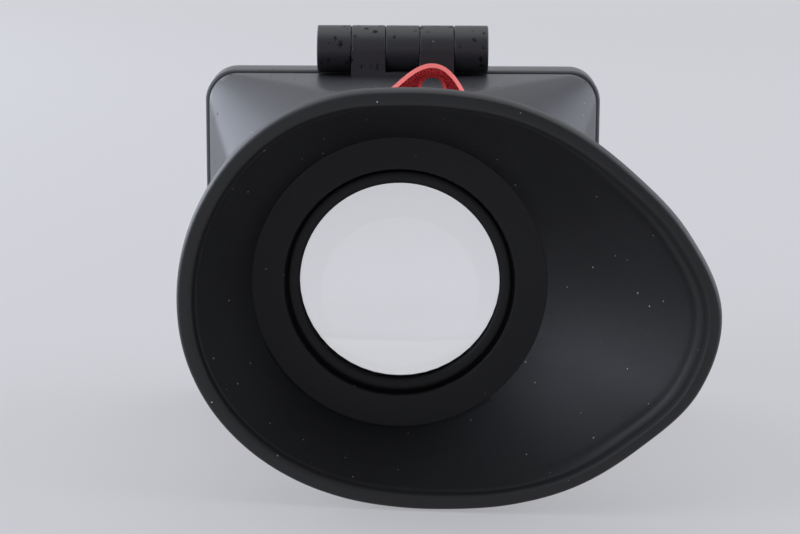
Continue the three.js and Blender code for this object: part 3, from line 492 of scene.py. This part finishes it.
def dioptre_ring():
    """The dioptre ring: its wall section turned round the axis, swollen outwards in even ribs. A
    rib's height falls off softly on both flanks and towards the ring's two rims."""
    back, front = DIOPTRE_DEPTHS
    depth = np.concatenate([back + RIM_STEPS,
                            np.linspace(back + RIB_START, front - RIB_START, RIB_ROWS),
                            front - RIM_STEPS[::-1]])
    angle = turns(RIB_COUNT * RIB_STEPS)
    phase = np.abs(((angle * RIB_COUNT / FULL_TURN + 0.5) % 1) - 0.5)
    rib = smooth(np.clip((RIB_HALF - phase) / RIB_FLANK + 0.5, 0, 1))
    rim = np.minimum(depth - back, front - depth)
    along = smooth(np.clip((rim - RIB_INSET) / RIB_RUN, 0, 1))
    to_flat = RIM_ROUND - np.clip(rim, 0, RIM_ROUND)
    edge = RIM_ROUND - np.sqrt(np.clip(RIM_ROUND ** 2 - to_flat ** 2, 0, None))
    radius = DIOPTRE_RADIUS - edge + RIB_HEIGHT * rib * along
    cut = DIOPTRE_CUT
    bore = np.tile([DIOPTRE_BORE + cut, DIOPTRE_BORE, DIOPTRE_BORE, DIOPTRE_BORE + cut],
                   (len(angle), 1))
    bore_depth = np.array([front, front - cut, back + cut, back])
    ring = around(np.hstack([radius, bore]), np.concatenate([depth, bore_depth]), angle)
    return new_mesh("dioptre_grip_ring", ring)


def lens(name, edge_back, edge_front, front_curve, back_curve):
    """A lens: two spherical caps joined by a cylindrical edge, turned round the axis. A cap stands
    out over its edge by the difference of two square roots, as any sphere does."""
    r = LENS_RADIUS * np.sin(np.linspace(0, math.pi / 2, CAP_STEPS))
    r[-1] = LENS_RADIUS

    def dome(curve):
        if not curve:
            return 0 * r
        return np.sqrt(curve ** 2 - r ** 2) - math.sqrt(curve ** 2 - LENS_RADIUS ** 2)

    radius = np.concatenate([r, r[::-1]])
    depth = np.concatenate([edge_back - dome(back_curve), (edge_front + dome(front_curve))[::-1]])
    body = around(radius, depth, turns(LENS_STEPS), closed=False)
    return new_mesh(name, body, LENS_SHARP_DEGREES)


def bezel():
    """The bezel: a rounded lip over the lens edge with a skirt behind it. The lip rises with a
    power of the sine along a half turn."""
    turn = np.linspace(0, math.pi, LIP_STEPS)
    half = (BEZEL_RADIUS - BEZEL_APERTURE) / 2
    lip_radius = BEZEL_APERTURE + half - half * np.cos(turn)
    lip_depth = BEZEL_FRONT - BEZEL_LIP + BEZEL_LIP * np.sin(turn) ** LIP_POWER
    section = [(BEZEL_APERTURE + BEZEL_FLARE, BEZEL_BACK), *zip(lip_radius, lip_depth),
               (BEZEL_RADIUS, BEZEL_SEAT), (BEZEL_SKIRT, BEZEL_SEAT), (BEZEL_SKIRT, BEZEL_BACK)]
    return new_mesh("bezel", revolved(section))


def cup_ring():
    """The eyecup's ring: a sleeve with a flat face that turns down into the bezel's groove."""
    section = [(CUP_RING_BORE, CUP_RING_BACK), (CUP_RING_RADIUS, CUP_RING_BACK),
               (CUP_RING_RADIUS, CUP_FACE_BACK), (CUP_FACE_RADIUS, CUP_FACE_BACK),
               (CUP_FACE_RADIUS, CUP_FACE_FRONT), (CUP_FACE_BORE, CUP_FACE_FRONT),
               (CUP_FACE_BORE, CUP_FACE_BACK), (CUP_RING_BORE, CUP_FACE_BACK)]
    return new_mesh("cup_ring", revolved(softened(section, CUP_RING_ROUNDS), CUP_RING_STEPS))


def rim_radius(angle):
    """The eyecup's rim radius at each angle: a smooth closed curve through the even shares."""
    count = len(RIM_SHARES)
    place_along = (angle / FULL_TURN % 1) * count
    start = np.floor(place_along).astype(int)
    t = place_along - start
    a, b, c, d = (RIM_SHARES[(start + step) % count] for step in (-1, 0, 1, 2))
    slope_in, slope_out = (c - a) / 2, (d - b) / 2
    share = (b + slope_in * t + (3 * (c - b) - 2 * slope_in - slope_out) * t ** 2
             + (2 * (b - c) + slope_in + slope_out) * t ** 3)
    return RIM_REACH * share


def flare(start, end, back, front, share):
    """The eyecup's wall between two radii and depths: its depth grows evenly, and its radius by one
    less a power of the share that is left, so it opens quickly and then straightens."""
    return start + (end - start) * (1 - (1 - share) ** FLARE_POWER), back + (front - back) * share


def eyecup():
    """The eyecup: at each angle a section that runs up the collar's bore to the ring's face, out
    along the bowl to a fine groove, over the bead's low crown, round its outer edge and back down
    the outside. The groove is a bell curve that widens to the wing, where a soft ridge runs beside
    it in the bowl. An attribute holds the groove's share of its full depth, halved at the wing; the
    rubber paints shade into the groove by it."""
    angle = turns(CUP_STEPS)
    radius = rim_radius(angle)
    rim_front = RIM_DEPTH + WING_LEAN * radius * np.cos(angle) / RIM_REACH
    bead_back = rim_front - BEAD_DEPTH
    inner_edge = radius - BEAD_WIDTH
    wing = smooth(np.clip((radius / RIM_REACH - WING_FROM) / WING_RUN, 0, 1))
    groove_width = GROOVE_WIDTH + (WING_GROOVE_WIDTH - GROOVE_WIDTH) * wing

    def groove(across):
        return GROOVE_DEPTH * np.exp(-(across / groove_width) ** 2)

    face_edge = CUP_FACE_RADIUS + CUP_SEAM
    bevel = COLLAR_BEVEL
    collar_in_r = [COLLAR_BORE + bevel, COLLAR_BORE, COLLAR_BORE, face_edge, face_edge]
    collar_in_d = [CUP_RING_BACK, CUP_RING_BACK + bevel, CUP_FACE_BACK, CUP_FACE_BACK + bevel,
                   CUP_FACE_FRONT - CUP_SEAM_DEPTH]

    bowl_r, bowl_d = flare(face_edge, inner_edge, CUP_FACE_FRONT, rim_front - BEAD_STEP,
                           BOWL_SHARES)
    inward = inner_edge - bowl_r
    ridge = RIDGE_HEIGHT * wing * np.exp(-((inward - RIDGE_PLACE) / RIDGE_WIDTH) ** 2)
    bowl_d = bowl_d - groove(inward) + ridge

    turn = np.linspace(0, math.pi / 2, BEAD_EDGE_STEPS)[1:]
    flat = np.linspace(BEAD_START, BEAD_WIDTH - BEAD_EDGE, CROWN_STEPS)
    across = np.concatenate([flat, flat[-1] + BEAD_EDGE * np.sin(turn)])
    shoulder = SHOULDER_DROP * (SHOULDER_LEAST + (1 - SHOULDER_LEAST) * wing)
    round_off = np.concatenate([0 * flat, (1 - np.cos(turn)) ** EDGE_POWER])
    past_peak = np.clip((across - BEAD_PEAK) / (BEAD_WIDTH - BEAD_PEAK), 0, 1)
    crown = BEAD_STEP * np.clip(1 - across / BEAD_PEAK, 0, 1) ** 2 + shoulder * past_peak ** 2
    bead_r = inner_edge + across
    bead_d = rim_front - (BEAD_DEPTH - shoulder) * round_off - crown - groove(across)

    under = np.linspace(0, math.pi / 2, UNDER_STEPS)[1:]
    under_r = radius - (BEAD_WIDTH - CUP_WALL) * (1 - np.cos(under))
    under_d = bead_back - UNDER_DROP * np.sin(under)
    outer_back = CUP_FACE_FRONT - CUP_WALL
    out_r, out_d = flare(COLLAR_RADIUS, inner_edge + CUP_WALL, outer_back, bead_back,
                         np.linspace(OUTSIDE_START, 0, OUTSIDE_STEPS))
    collar_out_r = [COLLAR_RADIUS, COLLAR_RADIUS, COLLAR_RADIUS - EDGE_CUT,
                    COLLAR_RADIUS - COLLAR_EDGE]
    collar_out_d = [outer_back - COLLAR_GAP, CUP_RING_BACK + COLLAR_EDGE,
                    CUP_RING_BACK + EDGE_CUT, CUP_RING_BACK]

    def joined(*stretches):
        return np.hstack([np.ones_like(angle) * np.array(stretch) for stretch in stretches])

    r = joined(collar_in_r, bowl_r, bead_r, under_r, out_r, collar_out_r)
    d = joined(collar_in_d, bowl_d, bead_d, under_d, out_d, collar_out_d)
    piece = new_mesh("eyecup_rubber", around(r, d, angle), CUP_SHARP_DEGREES)
    # The groove's share, by which the rubber paints shade into the groove.
    crease_shade = np.zeros_like(r)
    first = len(collar_in_r)
    last = first + bowl_r.shape[1] + bead_r.shape[1]
    shares = groove(joined(inward, across)) / GROOVE_DEPTH
    crease_shade[:, first:last] = shares * (1 - 0.5 * wing)
    mark(piece, "crease_shade", "POINT", crease_shade.ravel())
    return piece


def mark(piece, name, domain, values):
    """A number for each point or face of the piece."""
    piece.data.attributes.new(name, "FLOAT", domain).data.foreach_set("value", values)


def chamfered(piece):
    """The piece with an attribute of its faces that is 1 on those turned neither along nor across
    the optical axis, and less round the ear's hole, whose edge is only broken."""
    slant = np.array([abs(face.normal.y) for face in piece.data.polygons])
    share = np.where((slant > SLANT_LEAST) & (slant < SLANT_MOST), 1.0, 0.0)
    hole = place(EAR_HOLE_PLACE[0], 0, EAR_HOLE_PLACE[1])[0]
    middle = np.array([face.center for face in piece.data.polygons])
    distance = np.hypot(middle[:, 0] - hole[0], middle[:, 2] - hole[2])
    near = distance < MM * (EAR_HOLE_RADIUS + STRAP_CHAMFER)
    # The red material paints these faces paler, partly as a painted highlight.
    mark(piece, "chamfer", "FACE", np.where(near, EAR_HOLE_SHINE * share, share))
    return piece


class Value:
    """A shader socket that takes part in plain arithmetic by adding Math nodes."""

    def __init__(self, sheet, socket):
        self.sheet, self.socket = sheet, socket

    def maths(self, operation, *others):
        sockets = dict(enumerate((self, *others)))
        return self.sheet.node("Math", {"operation": operation}, sockets)

    def __add__(self, other):
        return self.maths("ADD", other)

    def __mul__(self, other):
        return self.maths("MULTIPLY", other)

    def __sub__(self, other):
        return self.maths("SUBTRACT", other)

    def __rsub__(self, other):
        return self.maths("MULTIPLY", -1.0).maths("ADD", other)

    __radd__, __rmul__ = __add__, __mul__

    def above(self, edge, width):
        """0 below the edge and 1 past the edge and width, with a soft step between."""
        sockets = {"Value": self, "From Min": edge, "From Max": edge + width}
        return self.sheet.node("MapRange", {"interpolation_type": "SMOOTHSTEP"}, sockets)


class Sheet:
    """A material and its nodes."""

    def __init__(self, name):
        self.material = bpy.data.materials.new(name)
        self.material.use_nodes = True
        self.tree = self.material.node_tree
        self.tree.nodes.clear()

    def node(self, kind, settings=None, sockets=None, output=0):
        """A node of a kind, with its settings made first, then its sockets set or linked."""
        made = self.tree.nodes.new("ShaderNode" + kind)
        for name, value in (settings or {}).items():
            setattr(made, name, value)
        for key, value in (sockets or {}).items():
            if isinstance(value, Value):
                self.tree.links.new(value.socket, made.inputs[key])
            else:
                made.inputs[key].default_value = value
        return Value(self, made.outputs[output]) if len(made.outputs) else None

    def here(self, stretch=None, turn=(0, 0, 0)):
        """Places on the object in metres, turned and stretched if asked."""
        where = self.node("TexCoord", output="Object")
        if stretch:
            sockets = {"Vector": where, "Scale": stretch, "Rotation": turn}
            where = self.node("Mapping", {}, sockets)
        return where

    def along(self, axis):
        """The place on the object along one axis, in metres."""
        return self.node("SeparateXYZ", {}, {"Vector": self.here()}, axis)

    def marked(self, name):
        """The piece's own attribute of that name."""
        return self.node("Attribute", {"attribute_name": name}, output="Fac")

    def noise(self, scale, detail=2.0, stretch=None):
        """Noise from 0 to 1 with features of about 1/scale metres."""
        sockets = {"Vector": self.here(stretch), "Scale": scale, "Detail": detail}
        return self.node("TexNoise", {}, sockets, "Fac")

    def cells(self, scale, stretch=None, turn=(0, 0, 0)):
        """Cells of 1/scale metres: the distance from the middle of the nearest one."""
        sockets = {"Vector": self.here(stretch, turn), "Scale": scale}
        return self.node("TexVoronoi", {"feature": "F1"}, sockets)

    def specks(self, scale, size, rarity, stretch=None, turn=(0, 0, 0), ragged=0.0):
        """Small spots: 1 within size of the middle of those cells whose random number passes
        rarity. A ragged spot's edge wanders by that many times its size."""
        distance = self.cells(scale, stretch, turn)
        colour = Value(self, distance.socket.node.outputs["Color"])
        random_number = self.node("SeparateColor", {}, {"Color": colour})
        if ragged:
            distance = distance + (self.noise(scale * 5) - 0.5) * (2 * ragged * size)
        spot = 1 - distance.above(size * 0.5, size)
        return spot * random_number.above(rarity, 0.01)

    def mixed(self, share, first, second):
        """A colour between two colours, by a share."""
        return self.node("Mix", {"data_type": "RGBA"}, {0: share, 6: first, 7: second}, 2)

    def bumps(self, height, distance):
        """Normals of a relief whose height of 1 stands for a distance in metres."""
        return self.node("Bump", {}, {"Height": height, "Distance": distance, "Strength": 1.0})

    def surface(self, hole_shade=None, **sockets):
        """The finished material, from the named sockets of its surface shader, and dull black, as
        painted shade, by the share given for hole shade."""
        named = {key.replace("_", " "): value for key, value in sockets.items()}
        shader = self.node("BsdfPrincipled", {}, named)
        if hole_shade:
            black = self.node("BsdfDiffuse", {}, {"Color": grey(0.003)})
            shader = self.node("MixShader", {}, {0: hole_shade, 1: shader, 2: black})
        self.node("OutputMaterial", {}, {"Surface": shader})
        return self.material


def grey(level, blue=1.0):
    """A grey whose blue is stronger or weaker by a factor."""
    return (level, level, level * blue, 1.0)


def hood_plastic():
    """Satin moulded plastic: a fine grain, uneven gloss, a little dust, small pits, and more and
    larger flecks on the hinge, which is also darker. The pits and flecks are dents painted dull
    black as painted shade inside them."""
    sheet = Sheet("hood_plastic")
    hinge_foot = place(0, HINGE_DEPTH, HINGE_HEIGHT - KNUCKLE_RADIUS)[0, 2]
    hinge = sheet.along("Z").above(hinge_foot, 2 * MM)
    grain = sheet.noise(3000, 3.0)
    patch = sheet.noise(55, 3.0)
    pits = sheet.specks(430, size=0.12, rarity=0.6, stretch=(1, 1, 0.7), ragged=1.2)
    flecks = sheet.specks(480, size=0.22, rarity=0.3, stretch=(1, 1.2, 0.6), turn=(0, 0.5, 0),
                          ragged=1.5)
    # Pits and flecks: dents whose dull black is painted shade inside them.
    marks = pits + flecks * hinge
    dust = sheet.specks(600, size=0.06, rarity=0.8)
    colour = sheet.mixed(patch, grey(0.022, 1.2), grey(0.033, 1.2))
    colour = sheet.mixed(hinge * 0.5, colour, grey(0.01, 1.2))
    colour = sheet.mixed(dust * 0.8, colour, grey(0.6, 1.05))
    rough = 0.42 + (patch - 0.5) * 0.12 + (grain - 0.5) * 0.08
    # The dull black over the pits and flecks is painted shade.
    return sheet.surface(Base_Color=colour, Roughness=rough, Specular_IOR_Level=0.75,
                         Normal=sheet.bumps(grain - marks * 3, 0.00002), hole_shade=marks * 0.75)


def barrel_plastic():
    """Dull black moulded plastic of the eyepiece, with a very fine grain."""
    sheet = Sheet("barrel_plastic")
    grain = sheet.noise(3800, 3.0)
    patch = sheet.noise(70, 3.0)
    dust = sheet.specks(600, size=0.05, rarity=0.9)
    colour = sheet.mixed(patch, grey(0.01, 1.08), grey(0.012, 1.08))
    colour = sheet.mixed(dust * 0.7, colour, grey(0.5, 1.05))
    return sheet.surface(Base_Color=colour, Roughness=0.5 + (grain - 0.5) * 0.15,
                         Specular_IOR_Level=0.25, Normal=sheet.bumps(grain, 0.00002))


def rubber():
    """Soft moulded rubber: a very fine tooth, faint bloom, dust and a few stray fibres, and painted
    shade: a dull dark line in the groove beside the bead."""
    sheet = Sheet("cup_rubber")
    tooth = sheet.noise(3600, 2.0)
    bloom = sheet.noise(45, 3.0)
    dust = sheet.specks(500, size=0.06, rarity=0.7)
    fibres = sheet.specks(260, size=0.02, rarity=0.6, stretch=(1.0, 0.1, 1.0),
                          turn=(0.4, 0.9, 0.3))
    crease_shade = sheet.marked("crease_shade")
    colour = sheet.mixed(bloom, grey(0.009, 1.08), grey(0.014, 1.12))
    colour = sheet.mixed(dust * 0.9, colour, grey(0.8))
    colour = sheet.mixed(fibres * 0.5, colour, grey(0.5))
    # Painted shade: the groove beside the bead darkens to near black.
    colour = sheet.mixed(crease_shade, colour, grey(0.002))
    rough = 0.5 + (bloom - 0.5) * 0.1 + (tooth - 0.5) * 0.1 + crease_shade * 0.5
    return sheet.surface(Base_Color=colour, Roughness=rough, Specular_IOR_Level=0.45,
                         Normal=sheet.bumps(tooth, 0.00003))


def foam():
    """Open-cell foam: small round cells that sink in, in an uneven black that is darker in their
    sunken middles as painted shade.
    """
    sheet = Sheet("pad_foam")
    cells = sheet.cells(1900)
    # Painted shade: each cell darkens towards its sunken middle.
    colour = sheet.mixed(cells.above(0.1, 0.6), grey(0.004), grey(0.022))
    return sheet.surface(Base_Color=colour, Roughness=0.95, Specular_IOR_Level=0.2,
                         Normal=sheet.bumps(cells, 0.0002))


def red_anodised():
    """Red anodised aluminium: bead-blasted flat faces, and paler chamfers cut after blasting; their
    pale colour is partly a painted highlight of the light they catch.
    """
    sheet = Sheet("red_anodised")
    grain = sheet.noise(3400, 2.0)
    cut = sheet.marked("chamfer")
    blasted = sheet.mixed(grain.above(0.4, 0.2), (0.3, 0.005, 0.007, 1), (0.85, 0.05, 0.06, 1))
    # Partly a painted highlight: the chamfers' pale colour stands in part for the light they catch.
    colour = sheet.mixed(cut, blasted, (1.0, 0.21, 0.19, 1))
    return sheet.surface(Base_Color=colour, Metallic=0.55 - cut * 0.35, Roughness=0.42 + cut * 0.1,
                         Normal=sheet.bumps(grain * (1 - cut), 0.00008))


def metal(name, colour, roughness):
    """Turned or ground metal: fine streaks round the piece and an uneven polish."""
    sheet = Sheet(name)
    streaks = sheet.noise(1500, 3.0, (1.0, 6.0, 1.0))
    dark = tuple(0.82 * c for c in colour[:3]) + (1.0,)
    return sheet.surface(Base_Color=sheet.mixed(streaks, dark, colour), Metallic=1.0,
                         Roughness=roughness + (streaks - 0.5) * 0.15,
                         Normal=sheet.bumps(streaks, 0.00001))


def glass():
    """Clear coated glass, which reflects very little."""
    return Sheet("lens_glass").surface(Base_Color=(1, 1, 1, 1), Roughness=0.0, IOR=1.5,
                                       Transmission_Weight=1.0, Specular_IOR_Level=0.03)


HOOD_PLASTIC = hood_plastic()
BARREL_PLASTIC = barrel_plastic()
RUBBER = rubber()
FOAM = foam()
RED = red_anodised()
STEEL = metal("ground_steel", (0.56, 0.57, 0.59, 1.0), 0.32)
NICKEL = metal("plated_nickel", (0.72, 0.71, 0.69, 1.0), 0.2)
BRASS = metal("turned_brass", (0.64, 0.45, 0.18, 1.0), 0.3)
GLASS = glass()

dress(mount_frame(), "mount", "mount_frame", HOOD_PLASTIC)
dress(hood(), "hood", "hood_shell", HOOD_PLASTIC)
dress(chamfered(strap_ring()), "strap_ring", "strap_ring", RED)
dress(dioptre_ring(), "dioptre_ring", "dioptre_ring", BARREL_PLASTIC)
dress(lens("front_lens", *EYE_LENS), "lens_cell", "eye_lens", GLASS)
dress(lens("inner_lens", *REAR_LENS), "lens_cell", "rear_lens", GLASS)
dress(bezel(), "lens_cell", "bezel_ring", BARREL_PLASTIC)
dress(cup_ring(), "eyecup", "eyecup_ring", BARREL_PLASTIC)
dress(eyecup(), "eyecup", "eyecup", RUBBER)

pad = new_mesh("foam_pad", windowed_plate(inset(FRAME, PAD_INSET), WINDOW, *PAD_DEPTHS, PAD_ROUND))
dress(pad, "mount", "mounting_pad", FOAM)
seal = new_mesh("felt_seal", windowed_plate(inset(MOUTH, SEAL_INSET), MOUTH_OPEN, *SEAL_DEPTHS,
                                            SEAL_ROUND))
dress(seal, "hood", "mouth_seal", FOAM)

for side, up in (("upper", MAGNET_UP), ("lower", -MAGNET_UP)):
    for hand, across in (("left", -MAGNET_ACROSS), ("right", MAGNET_ACROSS)):
        disc = axial_disc(MAGNET_RADIUS, across, up, *MAGNET_DEPTHS, MAGNET_ROUND)
        magnet = new_mesh(f"magnet_disc_{side}_{hand}", disc)
        dress(magnet, "mount", f"frame_magnet_{side}_{hand}", NICKEL)
        finish(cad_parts[f"hood_magnet_{side}_{hand}"], NICKEL)

for name in ("eyepiece_barrel", "lens_cell", "lens_spacer"):
    finish(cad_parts[name], BARREL_PLASTIC)
finish(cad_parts["dioptre_o_ring"], RUBBER)
finish(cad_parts["hinge_pin"], STEEL)
for number in (1, 2, 3):
    finish(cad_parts[f"barrel_screw_{number}"], STEEL)
    finish(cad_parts[f"guide_pin_{number}"], BRASS)


# The stage and its light, in metres
FLOOR_PLACES, BOWL_START, BOWL_ROUND, BOWL_TOP = [0, 0.4, 0.8], 1.4, 1.0, 2.6
BOWL_STEPS, BOWL_ARC_STEPS = 96, 25
COOL =(0.9, 0.96, 1.12)
PANEL_AIM, CUP_AIM = (0, 0, 0.05), (0, 0, 0.04)
LAMPS = {
    "overhead": ((0, 0.4, 1.8), (0, 0.4, 0), (2.6, 2.2), 16.5, (1, 1, 1)),
    "left_panel": ((-0.75, 0.6, 0.3), PANEL_AIM, (0.8, 0.6), 4.5, COOL),
    "right_panel": ((0.85, 0.6, 0.3), PANEL_AIM, (0.8, 0.6), 1.6, COOL),
    "left_front": ((-1.0, -0.5, 0.5), CUP_AIM, (0.7, 0.7), 5, COOL),
    "right_side": ((1.0, -0.1, 0.4), CUP_AIM, (0.7, 0.7), 3.6, COOL),
}


def stage():
    """A pale bowl: a flat floor that sweeps up into a wall all round, as a straight run, a quarter
    arc and a straight rise turned once round the middle. It glows a little, most behind the
    object."""
    turn = np.linspace(0, math.pi / 2, BOWL_ARC_STEPS)
    reach = np.concatenate([FLOOR_PLACES, BOWL_START + BOWL_ROUND * np.sin(turn),
                            [BOWL_START + BOWL_ROUND]])
    height = np.concatenate([[0] * len(FLOOR_PLACES), BOWL_ROUND * (1 - np.cos(turn)), [BOWL_TOP]])
    angle = turns(BOWL_STEPS)
    points = np.stack([reach * np.cos(angle), reach * np.sin(angle), height + 0 * angle], axis=-1)
    quads = grid(BOWL_STEPS, len(reach), round_columns=False)
    floor = new_mesh("floor", (points.reshape(-1, 3), quads))
    sheet = Sheet("pale_floor")
    paper = sheet.mixed(sheet.noise(1.2), (0.25, 0.25, 0.255, 1), (0.27, 0.27, 0.275, 1))
    behind = sheet.along("Y")
    flat = sheet.mixed(behind.above(0.7, 0.9), (0.345, 0.345, 0.36, 1), (0.47, 0.47, 0.49, 1))
    wall = sheet.mixed(behind.above(-1.5, 2.2), (0.1, 0.1, 0.107, 1), (0.565, 0.575, 0.61, 1))
    glow = sheet.mixed(sheet.along("Z").above(0.0, 0.6), flat, wall)
    floor.data.materials.append(sheet.surface(Base_Color=paper, Roughness=0.85,
                                              Specular_IOR_Level=0.1, Emission_Color=glow,
                                              Emission_Strength=1.0))


def area_light(name, where, towards, size, power, colour):
    """A rectangular lamp that faces a point. Rays that pass through the glass don't see it."""
    light = bpy.data.lights.new(name, "AREA")
    light.shape = "RECTANGLE"
    light.size, light.size_y = size
    light.energy = power
    light.color = colour
    lamp = shown(name, light)
    lamp.location = where
    lamp.rotation_euler = (Vector(towards) - Vector(where)).to_track_quat("-Z", "Y").to_euler()
    lamp.visible_transmission = False


def camera():
    """The camera stands at its range from the sighted point, tilted down and swung aside, and is
    aimed so that this point falls on its pixel."""
    cam = bpy.data.cameras.new("camera")
    cam.sensor_width = SENSOR_WIDTH
    cam.lens = FOCAL_PIXELS / IMAGE_WIDTH * SENSOR_WIDTH
    cam.clip_start, cam.clip_end = 0.02, 20
    back = Vector((math.sin(CAMERA_SWING) * math.cos(CAMERA_TILT),
                   -math.cos(CAMERA_SWING) * math.cos(CAMERA_TILT), math.sin(CAMERA_TILT)))
    where = Vector(place(0, SIGHTED_DEPTH, 0)[0]) + CAMERA_RANGE * MM * back
    right = Vector((0, 0, 1)).cross(back).normalized()
    up = back.cross(right)
    level = right * math.cos(CAMERA_ROLL) + up * math.sin(CAMERA_ROLL)
    rise = back.cross(level)
    step_x = (SIGHTED_PIXEL[0] - IMAGE_WIDTH / 2) / FOCAL_PIXELS
    step_y = (IMAGE_HEIGHT / 2 - SIGHTED_PIXEL[1]) / FOCAL_PIXELS
    aim = (back + level * step_x + rise * step_y).normalized()
    level = (level - aim * level.dot(aim)).normalized()
    axes = Matrix((level, aim.cross(level), aim)).transposed().to_4x4()
    eye = shown("camera", cam)
    eye.matrix_world = Matrix.Translation(where) @ axes
    bpy.context.scene.camera = eye


def studio():
    """Soft light: a large panel overhead, one behind the object on each side, which the hood's
    sides mirror, one in front on the left, one beside it on the right, and a dim surround."""
    for name, settings in LAMPS.items():
        area_light(name, *settings)
    world = bpy.data.worlds.new("surround")
    world.use_nodes = True
    surround = world.node_tree.nodes["Background"].inputs
    surround["Color"].default_value = (0.62, 0.64, 0.7, 1)
    surround["Strength"].default_value = 0.3
    bpy.context.scene.world = world
    bpy.context.scene.view_settings.view_transform = "Standard"


stage()
camera()
studio()
